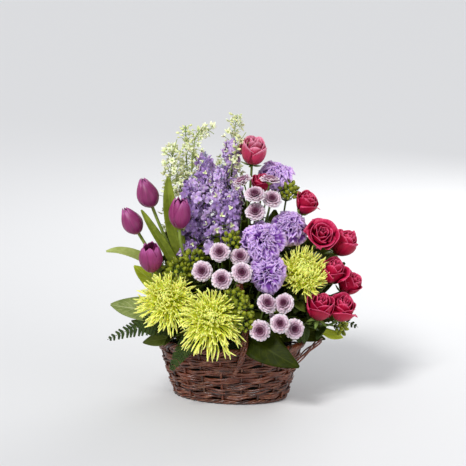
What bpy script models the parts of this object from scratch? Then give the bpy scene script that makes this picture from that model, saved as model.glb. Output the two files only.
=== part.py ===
"""An oval willow basket that holds a flower arrangement, built from its separate pieces.

The basket stands on the XY plane with its base centred on the origin. Z is up and the front
of the arrangement faces -Y. Every stem stands in a block of wet floral foam, which sits in a
plastic liner inside the basket.
"""

import math

import bmesh
import bpy
from mathutils import Matrix, Vector

# Basket. Half lengths of its ovals, long way first, and the turn of the long way from X.
BASKET_TURN = math.radians(-12)
BASE_OVAL = Vector((0.0955, 0.058))
RIM_OVAL = Vector((0.121, 0.082))
WALL_HEIGHT = 0.088
WALL_THICKNESS = 0.0065
BASE_THICKNESS = 0.006
RIM_RADIUS = 0.0065
FOOT_RADIUS = 0.0045
OVAL_SIDES = 40
GAP = 0.0004
WALL_BOTTOM = 2 * FOOT_RADIUS + GAP

# Hoop handle: a wrapped bundle of rods that arches over the short way. Its feet lie on the weave.
HANDLE_RADIUS = 0.0055
HANDLE_FOOT_RADIUS = 0.003
HANDLE_FOOT_Z = 0.060
HANDLE_FRONT_ANGLE = math.radians(-78)
HANDLE_BACK_ANGLE = math.radians(86)
HANDLE_TOP = Vector((0.010, -0.002, 0.214))
HANDLE_FRONT_RISE = Vector((0.012, 0.018, 0.060))
HANDLE_BACK_RISE = Vector((0.0, -0.010, 0.070))
HANDLE_TOP_REACH = Vector((0.0, 0.045, 0.0))

# Side loop: two thin rods twisted together, which leave the weave at the basket's right end.
LOOP_RADIUS = 0.0022
LOOP_Z = 0.066
LOOP_REACH = 0.034
LOOP_RISE = 0.036
LOOP_HALF_SPAN = math.radians(15)

# Liner and foam.
LINER_THICKNESS = 0.0012
LINER_TOP_Z = 0.083
LINER_CLEARANCE = 0.0055
FOAM_BOTTOM_OVAL = Vector((0.076, 0.040))
FOAM_TOP_OVAL = Vector((0.090, 0.055))
FOAM_TOP_Z = 0.120

# Stems fan out of the foam: where a stem enters follows from where its flower is.
ENTRY_PER_X = 0.36
ENTRY_PER_Y = 0.32
ENTRY_PER_Z = 0.12
ENTRY_MIDDLE_Z = 0.24
HANDLE_SIDE_X = 0.010
HANDLE_CLEARANCE = 0.004
STEM_DEPTH = 0.025
STEM_UPWARD = 0.35
STEM_STEPS = 6
HOLE_CLEARANCE = 0.0005

# Heads: distance along the flower's axis from its neck, and radius there, in metres.
TULIP = ((0.0, 0.003), (0.003, 0.011), (0.013, 0.0175), (0.027, 0.0185), (0.041, 0.013), (0.050, 0.004))
ROSE = ((0.0, 0.0022), (0.003, 0.009), (0.010, 0.017), (0.021, 0.021), (0.032, 0.019), (0.038, 0.011))
CARNATION = ((0.0, 0.002), (0.003, 0.005), (0.018, 0.0075), (0.026, 0.020), (0.034, 0.026),
             (0.043, 0.024), (0.050, 0.012))
SPIDER_MUM = ((0.0, 0.003), (0.004, 0.013), (0.011, 0.030), (0.020, 0.037), (0.030, 0.034), (0.038, 0.018))
BUTTON_MUM = ((0.0, 0.0013), (0.002, 0.008), (0.006, 0.0145), (0.010, 0.0145), (0.013, 0.008))
BERRIES = ((0.0, 0.002), (0.004, 0.010), (0.015, 0.0155), (0.027, 0.013), (0.034, 0.005))
LARKSPUR = ((0.0, 0.002), (0.05, 0.009), (0.35, 0.0112), (0.75, 0.009), (1.0, 0.004))
PALE_SPIKE = ((0.0, 0.002), (0.08, 0.007), (0.45, 0.011), (0.80, 0.008), (1.0, 0.003))

# Kinds of flower: profile, stem radius, and how far the head's middle is from its neck.
KINDS = {
    "tulip": {"profile": TULIP, "stem": 0.0028, "middle": 0.025, "sides": 2},
    "rose": {"profile": ROSE, "stem": 0.0020, "middle": 0.022, "sides": 2},
    "carnation": {"profile": CARNATION, "stem": 0.0018, "middle": 0.036, "sides": 2},
    "spider_mum": {"profile": SPIDER_MUM, "stem": 0.0028, "middle": 0.018, "sides": 3},
    "hypericum": {"profile": BERRIES, "stem": 0.0015, "middle": 0.018, "sides": 1},
}

# Each flower: its head's middle, the way it faces, and its size against the kind's profile.
FLOWERS = {
    "tulip_1": ((-0.134, 0.000, 0.341), (-0.33, -0.10, 1.0), 1.0),
    "tulip_2": ((-0.160, -0.015, 0.299), (-0.53, -0.10, 1.0), 1.0),
    "tulip_3": ((-0.080, -0.030, 0.314), (0.06, -0.12, 1.0), 1.05),
    "tulip_4": ((-0.126, -0.052, 0.245), (-0.05, -0.30, 1.0), 1.0),
    "rose_1": ((0.037, 0.010, 0.408), (0.05, -0.35, 1.0), 1.1),
    "rose_2": ((0.051, 0.010, 0.350), (0.05, -0.30, 1.0), 0.6),
    "rose_3": ((0.124, 0.000, 0.324), (0.35, -0.30, 0.9), 0.95),
    "rose_4": ((0.148, -0.035, 0.280), (0.15, -0.80, 0.55), 1.15),
    "rose_5": ((0.188, -0.005, 0.254), (0.75, -0.20, 0.60), 1.0),
    "rose_6": ((0.168, -0.040, 0.217), (0.40, -0.45, 0.80), 1.0),
    "rose_7": ((0.202, -0.015, 0.187), (0.80, -0.30, 0.40), 1.0),
    "rose_8": ((0.141, -0.070, 0.163), (-0.05, -0.65, 0.75), 1.1),
    "rose_9": ((0.183, -0.050, 0.156), (0.30, -0.50, 0.70), 1.0),
    "carnation_1": ((0.077, 0.020, 0.378), (0.15, -0.30, 0.9), 1.0),
    "carnation_2": ((0.051, -0.055, 0.279), (-0.10, -0.85, 0.50), 1.1),
    "carnation_3": ((0.098, -0.030, 0.292), (0.35, -0.70, 0.60), 1.0),
    "carnation_4": ((0.061, -0.080, 0.228), (0.05, -0.92, 0.35), 1.0),
    "spider_mum_1": ((-0.103, -0.085, 0.179), (-0.25, -0.75, 0.55), 0.95),
    "spider_mum_2": ((-0.031, -0.112, 0.163), (-0.05, -0.88, 0.45), 1.05),
    "spider_mum_3": ((0.119, -0.050, 0.222), (0.20, -0.70, 0.65), 0.78),
    "hypericum_1": ((-0.086, -0.048, 0.222), (-0.20, -0.45, 0.85), 1.1),
    "hypericum_2": ((-0.056, -0.042, 0.240), (-0.10, -0.45, 0.85), 1.1),
    "hypericum_3": ((0.004, -0.044, 0.272), (0.0, -0.50, 0.85), 0.85),
    "hypericum_4": ((0.013, -0.090, 0.170), (0.0, -0.70, 0.70), 0.8),
    "hypericum_5": ((0.092, 0.012, 0.338), (0.05, -0.30, 0.90), 0.8),
    "hypericum_6": ((0.184, -0.018, 0.119), (0.90, -0.30, -0.15), 0.8),
}

# Flower spikes: foot and tip of the flowering part.
SPIKES = {
    "larkspur_1": ((-0.064, -0.004, 0.238), (-0.063, 0.012, 0.366)),
    "larkspur_2": ((-0.043, 0.012, 0.262), (-0.041, 0.028, 0.402)),
    "larkspur_3": ((-0.026, -0.012, 0.246), (-0.014, 0.010, 0.384)),
    "larkspur_4": ((-0.002, 0.026, 0.296), (0.006, 0.036, 0.424)),
    "larkspur_5": ((0.002, -0.008, 0.250), (0.003, -0.002, 0.346)),
    "pale_spike_1": ((-0.078, 0.030, 0.330), (-0.098, 0.034, 0.412)),
    "pale_spike_2": ((-0.070, 0.046, 0.350), (-0.073, 0.050, 0.444)),
    "pale_spike_3": ((-0.004, 0.062, 0.362), (0.012, 0.066, 0.460)),
}

# Sprays of button mums: where the stem branches, then each bloom's middle and facing.
SPRAYS = {
    "button_spray_top": ((0.044, -0.002, 0.288), (
        ((0.021, -0.014, 0.362), (-0.40, 0.00, 0.9)),
        ((0.064, -0.014, 0.364), (0.15, 0.05, 1.0)),
        ((0.040, -0.032, 0.344), (-0.05, -0.55, 0.85)),
        ((0.068, -0.024, 0.335), (0.25, -0.75, 0.55)),
        ((0.041, -0.034, 0.316), (-0.05, -0.75, 0.65)),
    )),
    "button_spray_middle": ((-0.012, -0.035, 0.190), (
        ((-0.016, -0.070, 0.258), (-0.10, -0.80, 0.55)),
        ((-0.044, -0.078, 0.229), (-0.20, -0.88, 0.40)),
        ((0.016, -0.062, 0.249), (0.10, -0.70, 0.65)),
        ((0.019, -0.086, 0.229), (0.05, -0.93, 0.35)),
        ((-0.013, -0.092, 0.219), (0.00, -0.90, 0.40)),
    )),
    "button_spray_low": ((0.070, -0.060, 0.134), (
        ((0.053, -0.100, 0.178), (-0.15, -0.92, 0.35)),
        ((0.093, -0.096, 0.180), (0.10, -0.92, 0.38)),
        ((0.071, -0.086, 0.184), (0.00, -0.85, 0.50)),
        ((0.048, -0.108, 0.140), (-0.15, -0.95, 0.10)),
        ((0.079, -0.122, 0.155), (0.00, -0.93, 0.35)),
        ((0.102, -0.106, 0.142), (0.25, -0.93, 0.15)),
    )),
}

# Leaves and fronds: points that the midrib passes, the blade's upper side, its widest half
# width, where the blade begins along the midrib, and whether it grows from the foam.
LEAVES = {
    "tulip_leaf_1": (((-0.104, -0.006, 0.262), (-0.100, -0.004, 0.368)), (0.1, -1.0, 0.1), 0.0095, 0.50),
    "tulip_leaf_2": (((-0.112, -0.030, 0.262), (-0.143, -0.026, 0.318)), (0.5, -1.0, 0.5), 0.0075, 0.40),
    "tulip_leaf_3": (((-0.135, -0.026, 0.264), (-0.200, -0.030, 0.250)), (0.2, -0.8, 1.0), 0.0090, 0.40),
    "salal_leaf_1": (((0.030, -0.092, 0.114), (0.110, -0.118, 0.082)), (0.0, -1.0, 0.55), 0.0240, 0.42),
    "salal_leaf_2": (((-0.130, 0.020, 0.186), (-0.158, 0.016, 0.216)), (-0.2, -1.0, 0.3), 0.0130, 0.40),
    "salal_leaf_3": (((-0.145, -0.034, 0.150), (-0.194, -0.036, 0.163)), (0.1, -0.8, 0.8), 0.0110, 0.40),
    "salal_leaf_4": (((0.070, 0.106, 0.200), (0.076, 0.114, 0.290)), (0.0, 1.0, 0.2), 0.0280, 0.35),
    "salal_leaf_5": (((-0.054, 0.100, 0.190), (-0.060, 0.112, 0.280)), (0.0, 1.0, 0.2), 0.0270, 0.35),
    "salal_leaf_6": (((0.110, 0.070, 0.170), (0.136, 0.082, 0.250)), (0.2, 1.0, 0.2), 0.0270, 0.35),
    "fern_1": (((-0.130, -0.060, 0.144), (-0.198, -0.064, 0.112)), (0.0, -0.5, 1.0), 0.0170, 0.35),
    "fern_2": (((0.150, 0.046, 0.140), (0.214, 0.032, 0.106)), (0.1, -0.4, 1.0), 0.0150, 0.35),
    "fern_3": (((-0.075, -0.088, 0.112), (-0.094, -0.110, 0.074)), (0.0, -1.0, 0.5), 0.0140, 0.40),
    "fern_4": (((-0.029, 0.122, 0.150), (-0.031, 0.138, 0.230)), (0.0, 1.0, 0.4), 0.0240, 0.30),
    "fern_5": (((0.112, 0.112, 0.130), (0.135, 0.128, 0.190)), (0.1, 1.0, 0.5), 0.0220, 0.30),
    "fern_6": (((-0.090, 0.100, 0.130), (-0.118, 0.122, 0.200)), (-0.1, 1.0, 0.5), 0.0220, 0.30),
}
LEAF_THICKNESS = 0.0010
PETIOLE_HALF_WIDTH = 0.0011
LEAF_STEPS = 9
LEAF_DEPTH = 0.016
LEAF_UPWARD = 0.9

COLOURS = {
    "basket": ((0.09, 0.035, 0.022), 0.45),
    "liner": ((0.02, 0.03, 0.02), 0.5),
    "foam": ((0.05, 0.16, 0.06), 0.95),
    "tulip": ((0.30, 0.02, 0.20), 0.4),
    "rose": ((0.55, 0.02, 0.10), 0.5),
    "carnation": ((0.36, 0.20, 0.70), 0.6),
    "spider_mum": ((0.66, 0.76, 0.12), 0.5),
    "button_mum": ((0.66, 0.46, 0.60), 0.6),
    "larkspur": ((0.32, 0.25, 0.68), 0.6),
    "pale_spike": ((0.80, 0.85, 0.50), 0.6),
    "berries": ((0.35, 0.42, 0.04), 0.4),
    "leaf": ((0.10, 0.22, 0.02), 0.45),
    "fern": ((0.04, 0.12, 0.02), 0.6),
}


def clear_scene():
    for obj in list(bpy.data.objects):
        bpy.data.objects.remove(obj)


def new_collection(name, hidden=False):
    collection = bpy.data.collections.new(name)
    bpy.context.scene.collection.children.link(collection)
    collection.hide_render = hidden
    return collection


def material(name):
    """The Principled BSDF material of a colour in the table."""
    if name in bpy.data.materials:
        return bpy.data.materials[name]
    colour, roughness = COLOURS[name]
    made = bpy.data.materials.new(name)
    made.use_nodes = True
    shader = made.node_tree.nodes["Principled BSDF"]
    shader.inputs["Base Color"].default_value = (*colour, 1.0)
    shader.inputs["Roughness"].default_value = roughness
    shader.inputs["Metallic"].default_value = 0.0
    return made


def add_object(name, data, colour, collection):
    obj = bpy.data.objects.new(name, data)
    collection.objects.link(obj)
    if colour:
        data.materials.append(material(colour))
    return obj


def as_mesh(obj):
    """Replaces a curve object by a mesh object of the same name, its caps welded to its sides."""
    bpy.context.view_layer.update()
    graph = bpy.context.evaluated_depsgraph_get()
    mesh = bpy.data.meshes.new_from_object(obj.evaluated_get(graph))
    body = bmesh.new()
    body.from_mesh(mesh)
    bmesh.ops.remove_doubles(body, verts=body.verts, dist=0.00002)
    bmesh.ops.recalc_face_normals(body, faces=body.faces)
    body.to_mesh(mesh)
    body.free()
    name, matrix, homes = obj.name, obj.matrix_world.copy(), list(obj.users_collection)
    bpy.data.objects.remove(obj)
    made = bpy.data.objects.new(name, mesh)
    made.matrix_world = matrix
    for home in homes:
        home.objects.link(made)
    return made


def boolean(obj, operation, other):
    """A Boolean with an object, or with every object of a collection."""
    modifier = obj.modifiers.new(operation.lower(), "BOOLEAN")
    modifier.operation = operation
    modifier.solver = "EXACT"
    if isinstance(other, bpy.types.Collection):
        modifier.operand_type = "COLLECTION"
        modifier.collection = other
    else:
        modifier.object = other
    return modifier


def bezier(points, share):
    """A point of the Bezier curve through any number of control points (de Casteljau)."""
    while len(points) > 1:
        points = [a.lerp(b, share) for a, b in zip(points, points[1:])]
    return points[0]


def tube(name, points, radii, colour, collection, resolution=2, cyclic=False):
    """A closed tube along the points, with its own radius at each of them."""
    curve = bpy.data.curves.new(name, "CURVE")
    curve.dimensions = "3D"
    curve.bevel_depth = 0.001
    curve.bevel_resolution = resolution
    curve.use_fill_caps = True
    spline = curve.splines.new("POLY")
    spline.points.add(len(points) - 1)
    for knot, point, radius in zip(spline.points, points, radii):
        knot.co = (*point, 1.0)
        knot.radius = radius / curve.bevel_depth
    spline.use_cyclic_u = cyclic
    return add_object(name, curve, colour, collection)


# ---------------------------------------------------------------- basket, liner and foam

def oval_point(oval, angle, z):
    """A point of the basket's oval, turned as the basket is turned."""
    flat = Vector((oval.x * math.cos(angle), oval.y * math.sin(angle), 0.0))
    return Matrix.Rotation(BASKET_TURN, 3, "Z") @ flat + Vector((0.0, 0.0, z))


def wall_oval(z):
    """Half lengths of the wall's outer oval at a height."""
    return BASE_OVAL.lerp(RIM_OVAL, z / WALL_HEIGHT)


def oval_cone(name, low, high, z_low, z_high, colour, collection):
    """A cone primitive whose ends are shaped to two ovals."""
    body = bmesh.new()
    bmesh.ops.create_cone(body, cap_ends=True, segments=OVAL_SIDES, radius1=1.0, radius2=1.0, depth=2.0)
    turn = Matrix.Rotation(BASKET_TURN, 4, "Z")
    for vert in body.verts:
        oval, z = (high, z_high) if vert.co.z > 0.0 else (low, z_low)
        vert.co = turn @ Vector((vert.co.x * oval.x, vert.co.y * oval.y, z))
    mesh = bpy.data.meshes.new(name)
    body.to_mesh(mesh)
    body.free()
    return add_object(name, mesh, colour, collection)


def shrunk(oval, by):
    return Vector((oval.x - by, oval.y - by))


def basket(parts, cutters):
    """Base disc, the foot border around it, and the woven wall with its rolled rim."""
    wall = oval_cone("basket_wall", wall_oval(WALL_BOTTOM), RIM_OVAL, WALL_BOTTOM, WALL_HEIGHT,
                     "basket", parts)
    low, high = -WALL_HEIGHT / 2, WALL_HEIGHT * 3 / 2
    hollow = oval_cone("wall_hollow", shrunk(wall_oval(low), WALL_THICKNESS),
                       shrunk(wall_oval(high), WALL_THICKNESS), low, high, None, cutters)
    boolean(wall, "DIFFERENCE", hollow)
    disc = shrunk(BASE_OVAL, 2 * FOOT_RADIUS + GAP)
    oval_cone("basket_base", disc, disc, 0.0, BASE_THICKNESS, "basket", parts)
    angles = [2 * math.pi * i / OVAL_SIDES for i in range(OVAL_SIDES)]
    for name, middle, z, radius in (
            ("basket_foot", shrunk(BASE_OVAL, FOOT_RADIUS), FOOT_RADIUS, FOOT_RADIUS),
            ("basket_rim", shrunk(RIM_OVAL, WALL_THICKNESS / 2), WALL_HEIGHT + RIM_RADIUS + GAP, RIM_RADIUS)):
        tube(name, [oval_point(middle, angle, z) for angle in angles], [radius] * OVAL_SIDES,
             "basket", parts, cyclic=True)


def handle_leg(angle):
    """The leg at one side: on the weave, past the outside of the rim, and just above it."""
    foot = shrunk(wall_oval(HANDLE_FOOT_Z), -(HANDLE_FOOT_RADIUS + 6 * GAP))
    side = shrunk(RIM_OVAL, -(HANDLE_RADIUS + 2 * GAP + RIM_RADIUS / 2))
    rim_z = WALL_HEIGHT + RIM_RADIUS
    return [oval_point(foot, angle, HANDLE_FOOT_Z), oval_point(side, angle + 0.10, rim_z)]


def handle_arch():
    """The handle's middle line, from the front foot over the top to the back foot."""
    front = handle_leg(HANDLE_FRONT_ANGLE)
    back = handle_leg(HANDLE_BACK_ANGLE)
    up_front = [front[1], front[1] + HANDLE_FRONT_RISE, HANDLE_TOP - HANDLE_TOP_REACH, HANDLE_TOP]
    up_back = [back[1], back[1] + HANDLE_BACK_RISE, HANDLE_TOP + HANDLE_TOP_REACH, HANDLE_TOP]
    first = [bezier(up_front, i / 5) for i in range(1, 5)]
    second = [bezier(up_back, i / 5) for i in range(1, 5)]
    return front + first + [HANDLE_TOP] + second[::-1] + back[::-1]


def handle(parts):
    """The bundled hoop handle. Its feet lie against the wall, under the rim."""
    points = handle_arch()
    radii = [HANDLE_RADIUS] * len(points)
    radii[0] = radii[-1] = HANDLE_FOOT_RADIUS
    tube("basket_handle", points, radii, "basket", parts, resolution=2)


def side_loop(parts):
    """The twisted pair of rods at the right end, which bows outwards and upwards."""
    clear = LOOP_RADIUS + 4 * GAP
    points = []
    for i in range(11):
        swing = math.pi * i / 10
        angle = -LOOP_HALF_SPAN * math.cos(swing)
        z = LOOP_Z + LOOP_RISE * math.sin(swing)
        oval = shrunk(wall_oval(LOOP_Z), -(clear + LOOP_REACH * math.sin(swing)))
        points.append(oval_point(oval, angle, z))
    tube("basket_side_loop", points, [LOOP_RADIUS] * len(points), "basket", parts, resolution=1)


def liner(parts, cutters):
    """The plastic tray inside the basket: an oval cup, open at the top."""
    clearance = WALL_THICKNESS + LINER_CLEARANCE
    bottom = BASE_THICKNESS + 2 * GAP
    low = shrunk(wall_oval(bottom), clearance)
    high = shrunk(wall_oval(LINER_TOP_Z), clearance)
    cup = oval_cone("liner", low, high, bottom, LINER_TOP_Z, "liner", parts)
    hollow = oval_cone("liner_hollow", shrunk(low, LINER_THICKNESS), shrunk(high, LINER_THICKNESS),
                       bottom + LINER_THICKNESS, LINER_TOP_Z + LINER_THICKNESS, None, cutters)
    boolean(cup, "DIFFERENCE", hollow)


def foam(parts, holes):
    """The foam block, with a hole where each stem goes in."""
    bottom = BASE_THICKNESS + LINER_THICKNESS + 4 * GAP
    block = oval_cone("floral_foam", FOAM_BOTTOM_OVAL, FOAM_TOP_OVAL, bottom, FOAM_TOP_Z, "foam", parts)
    boolean(block, "DIFFERENCE", holes)


# ---------------------------------------------------------------- flowers

def entry(head):
    """Where the stem of a flower enters the foam's top face, to the left or right of the handle."""
    aside = HANDLE_CLEARANCE if head.x > HANDLE_SIDE_X else -HANDLE_CLEARANCE
    return Vector((ENTRY_PER_X * head.x + aside,
                   ENTRY_PER_Y * head.y + ENTRY_PER_Z * (head.z - ENTRY_MIDDLE_Z), FOAM_TOP_Z))


def stem_path(head, neck, facing):
    """Points from inside the foam to the neck. The stem starts towards its head and a little up."""
    start = entry(head)
    reach = (neck - start).length
    rise = ((neck - start).normalized() + Vector((0.0, 0.0, STEM_UPWARD))).normalized()
    bend = min(0.35 * reach, 0.045)
    controls = [start, start + rise * 0.35 * reach, neck - facing * bend, neck]
    path = [bezier(controls, i / STEM_STEPS) for i in range(STEM_STEPS + 1)]
    return [start - rise * STEM_DEPTH] + path


def stem_hole(name, path, radius, holes):
    """The cutter for a stem's hole in the foam."""
    out = (path[1] - path[0]).normalized()
    beyond = path[1].lerp(path[2], 0.9)
    points = [path[0] - out * HOLE_CLEARANCE, path[1], beyond]
    cutter = tube(name + "_hole", points, [radius + HOLE_CLEARANCE] * 3, None, holes)
    as_mesh(cutter)


def lollipop(name, path, stem_radius, neck, facing, profile, size, colour, collection, resolution):
    """A stem with its head, as one tube whose radius follows the head's profile."""
    points = list(path[:-1]) + [neck + facing * along * size for along, _ in profile]
    radii = [stem_radius] * (len(path) - 1) + [radius * size for _, radius in profile]
    radii[len(path) - 1] = stem_radius
    return tube(name, points, radii, colour, collection, resolution)


def kind_of(name):
    return next(kind for kind in KINDS if name.startswith(kind))


def single_flowers(parts, holes):
    for name, (middle, facing, size) in FLOWERS.items():
        kind = KINDS[kind_of(name)]
        head = Vector(middle)
        face = Vector(facing).normalized()
        neck = head - face * kind["middle"] * size
        path = stem_path(head, neck, face)
        colour = "berries" if kind_of(name) == "hypericum" else kind_of(name)
        lollipop(name, path, kind["stem"], neck, face, kind["profile"], size, colour, parts, kind["sides"])
        stem_hole(name, path, kind["stem"], holes)


def spikes(parts, holes):
    """Larkspurs: a stem whose top part is a column of florets."""
    for name, (foot, tip) in SPIKES.items():
        foot, tip = Vector(foot), Vector(tip)
        length = (tip - foot).length
        face = (tip - foot).normalized()
        shape = LARKSPUR if name.startswith("larkspur") else PALE_SPIKE
        profile = [(along * length, radius) for along, radius in shape]
        path = stem_path(foot.lerp(tip, 0.6), foot, face)
        colour = "larkspur" if name.startswith("larkspur") else "pale_spike"
        lollipop(name, path, 0.002, foot, face, profile, 1.0, colour, parts, 2)
        stem_hole(name, path, 0.002, holes)


def sprays(parts, holes):
    """Button mums: one stem that branches to several blooms, joined into one solid."""
    stem_radius, twig_radius = 0.0024, 0.0013
    for name, (fork, blooms) in SPRAYS.items():
        fork = Vector(fork)
        middle = sum((Vector(at) for at, _ in blooms), Vector()) / len(blooms)
        up = (middle - fork).normalized()
        path = stem_path(middle, fork, up)
        end = fork + up * 0.004
        stem = as_mesh(tube(name, path + [end], [stem_radius] * (len(path) + 1), "button_mum", parts))
        branches = new_collection(name + "_branches", hidden=True)
        for i, (at, facing) in enumerate(blooms):
            at, face = Vector(at), Vector(facing).normalized()
            neck = at - face * 0.007
            reach = (neck - fork).length
            controls = [fork, fork + up * 0.4 * reach, neck - face * 0.3 * reach, neck]
            twig = [bezier(controls, i / 5) for i in range(6)]
            as_mesh(lollipop(f"{name}_bloom_{i + 1}", twig, twig_radius, neck, face, BUTTON_MUM, 1.0,
                             None, branches, 2))
        boolean(stem, "UNION", branches)
        stem_hole(name, path, stem_radius, holes)


# ---------------------------------------------------------------- leaves

def blade_half_width(share, begin, widest):
    """Half the leaf's width: a thin stalk, then a blade that swells and comes to a point."""
    if share < begin:
        return PETIOLE_HALF_WIDTH
    t = (share - begin) / (1.0 - begin)
    return max(PETIOLE_HALF_WIDTH, widest * math.sin(math.pi * t ** 0.8) ** 0.8)


def leaves(parts, holes):
    """Leaves: a grid bent along the midrib, then given its thickness."""
    for name, (through, upper, widest, begin) in LEAVES.items():
        middle, tip = (Vector(point) for point in through)
        start = entry(middle)
        rise = ((middle - start).normalized() + Vector((0.0, 0.0, LEAF_UPWARD))).normalized()
        controls = [start, start + rise * 0.4 * (middle - start).length, middle.lerp(tip, 0.15), tip]
        midrib = [start - rise * LEAF_DEPTH] + [bezier(controls, i / LEAF_STEPS) for i in range(LEAF_STEPS + 1)]
        body = bmesh.new()
        bmesh.ops.create_grid(body, x_segments=len(midrib) - 1, y_segments=2, size=1.0)
        for vert in body.verts:
            step = round((vert.co.x + 1.0) / 2.0 * (len(midrib) - 1))
            along = (midrib[min(step + 1, len(midrib) - 1)] - midrib[max(step - 1, 0)]).normalized()
            across = along.cross(Vector(upper)).normalized()
            normal = across.cross(along)
            half = blade_half_width(max(0, step - 1) / LEAF_STEPS, begin, widest)
            vert.co = midrib[step] - across * vert.co.y * half + normal * 0.15 * half * abs(vert.co.y)
        mesh = bpy.data.meshes.new(name)
        body.to_mesh(mesh)
        body.free()
        leaf = add_object(name, mesh, "fern" if name.startswith("fern") else "leaf", parts)
        modifier = leaf.modifiers.new("thickness", "SOLIDIFY")
        modifier.thickness = LEAF_THICKNESS
        modifier.offset = 0.0
        stem_hole(name, midrib, PETIOLE_HALF_WIDTH + LEAF_THICKNESS / 2, holes)


def main():
    clear_scene()
    parts = new_collection("flower_basket")
    cutters = new_collection("cutters", hidden=True)
    holes = new_collection("stem_holes", hidden=True)
    basket(parts, cutters)
    handle(parts)
    side_loop(parts)
    liner(parts, cutters)
    single_flowers(parts, holes)
    spikes(parts, holes)
    sprays(parts, holes)
    leaves(parts, holes)
    foam(parts, holes)
    for collection in (cutters, holes):
        for obj in collection.objects:
            obj.hide_render = True
            obj.display_type = "WIRE"


main()
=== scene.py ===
import math

import bpy
import numpy as np
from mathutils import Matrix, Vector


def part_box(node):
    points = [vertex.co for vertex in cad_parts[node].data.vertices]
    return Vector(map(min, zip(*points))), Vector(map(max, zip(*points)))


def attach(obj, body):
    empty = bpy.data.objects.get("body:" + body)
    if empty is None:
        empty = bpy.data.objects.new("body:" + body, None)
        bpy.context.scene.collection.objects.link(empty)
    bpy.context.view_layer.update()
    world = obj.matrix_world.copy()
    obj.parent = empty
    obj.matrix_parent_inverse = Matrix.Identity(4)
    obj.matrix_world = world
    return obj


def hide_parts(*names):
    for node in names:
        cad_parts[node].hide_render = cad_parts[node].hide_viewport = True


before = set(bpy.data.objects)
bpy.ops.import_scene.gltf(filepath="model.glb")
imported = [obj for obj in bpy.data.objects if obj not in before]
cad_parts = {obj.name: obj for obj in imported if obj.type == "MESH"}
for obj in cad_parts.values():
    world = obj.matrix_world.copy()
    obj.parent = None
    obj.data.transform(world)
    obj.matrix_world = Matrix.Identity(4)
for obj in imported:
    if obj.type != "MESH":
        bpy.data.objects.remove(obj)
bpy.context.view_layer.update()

for spare in ("Cube", "Light", "Camera"):   # what a new file holds
    if spare in bpy.data.objects:
        bpy.data.objects.remove(bpy.data.objects[spare])
rng = np.random.default_rng(11)
golden = math.pi * (3.0 - math.sqrt(5.0))   # the angle between one leaf or petal and the next

# small vector helpers, all on whole arrays


def unit(v):
    return v / np.maximum(np.linalg.norm(v, axis=-1, keepdims=True), 1e-9)


def smooth(a, b, x):
    # 0 below a, 1 above b, and an S curve between
    t = np.clip((x - a) / (b - a), 0.0, 1.0)
    return t * t * (3.0 - 2.0 * t)


def basis(axis, spin=0.0):
    # three unit vectors as rows: two across the axis, turned by spin about it, and the axis
    axis = unit(np.asarray(axis, float))
    hint = np.where(np.abs(axis[..., 2:3]) < 0.9, [0.0, 0.0, 1.0], [1.0, 0.0, 0.0])
    side = unit(np.cross(hint, axis))
    other = np.cross(axis, side)
    c, s = math.cos(spin), math.sin(spin)
    return np.stack([side * c + other * s, other * c - side * s, axis], axis=-2)


def placed(points, origin, axis, spin=0.0):
    # carries points from a shape's own frame, whose z is the axis, to the object's frame
    return np.asarray(origin) + points @ basis(axis, spin)


def bend(points, n):
    # n points evenly along the Bezier curve of the control points (binomial weights)
    points = np.asarray(points, float)
    t = np.linspace(0.0, 1.0, n)[:, None]
    k = len(points) - 1
    weights = [math.comb(k, i) * t ** i * (1 - t) ** (k - i) for i in range(k + 1)]
    return sum(w * p for w, p in zip(weights, points))


def resample(points, n):
    # n points spaced evenly along a smooth line through the given ones (Catmull-Rom)
    p = np.vstack([2 * points[0] - points[1], points, 2 * points[-1] - points[-2]])
    at = np.linspace(0, len(points) - 1, n)
    i = np.minimum(at.astype(int), len(points) - 2)
    t = (at - i)[:, None]
    a, b, c, d = p[i], p[i + 1], p[i + 2], p[i + 3]
    return 0.5 * (2 * b + (c - a) * t + (2 * a - 5 * b + 4 * c - d) * t ** 2
                  + (3 * b - a - 3 * c + d) * t ** 3)


# chunks of mesh: arrays of points, quads and triangles with marks for the materials


def shells(grids, thickness, tone=None, material=0):
    # closed thin sheets: each grid (across, along) is moved half the thickness to both sides
    # along its own normal, and the two sides are joined round the edge
    grids = np.asarray(grids, float)
    p, nu, nv = grids.shape[:3]
    normal = unit(np.cross(np.gradient(grids, axis=1), np.gradient(grids, axis=2)))
    both = np.stack([grids + normal * thickness / 2, grids - normal * thickness / 2], axis=1)
    i, j = np.meshgrid(np.arange(nu - 1), np.arange(nv - 1), indexing="ij")
    a = (i * nv + j).ravel()
    top = np.stack([a, a + nv, a + nv + 1, a + 1], axis=1)
    edge = np.concatenate([np.arange(nu - 1) * nv, (nu - 1) * nv + np.arange(nv - 1),
                           np.arange(nu - 1, 0, -1) * nv + nv - 1, np.arange(nv - 1, 0, -1)])
    after = np.roll(edge, -1)
    size = nu * nv
    rim = np.stack([after, edge, edge + size, after + size], axis=1)
    one = np.vstack([top, top[:, ::-1] + size, rim])
    quads = (one[None] + (np.arange(p) * 2 * size)[:, None, None]).reshape(-1, 4)
    across = np.broadcast_to(np.linspace(-1, 1, nu)[:, None], (p, 2, nu, nv))
    along = np.broadcast_to(np.linspace(0, 1, nv), (p, 2, nu, nv))
    tone = rng.random(p) if tone is None else np.broadcast_to(tone, (p,))
    tones = np.broadcast_to(tone[:, None, None, None], (p, 2, nu, nv))
    side = np.broadcast_to(np.array([0.0, 1.0])[None, :, None, None], (p, 2, nu, nv))
    return {"points": both.reshape(-1, 3), "quads": quads, "tris": np.zeros((0, 3), int),
            "across": across.ravel(), "along": along.ravel(), "tone": tones.ravel(),
            "side": side.ravel(), "material": material}


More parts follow.
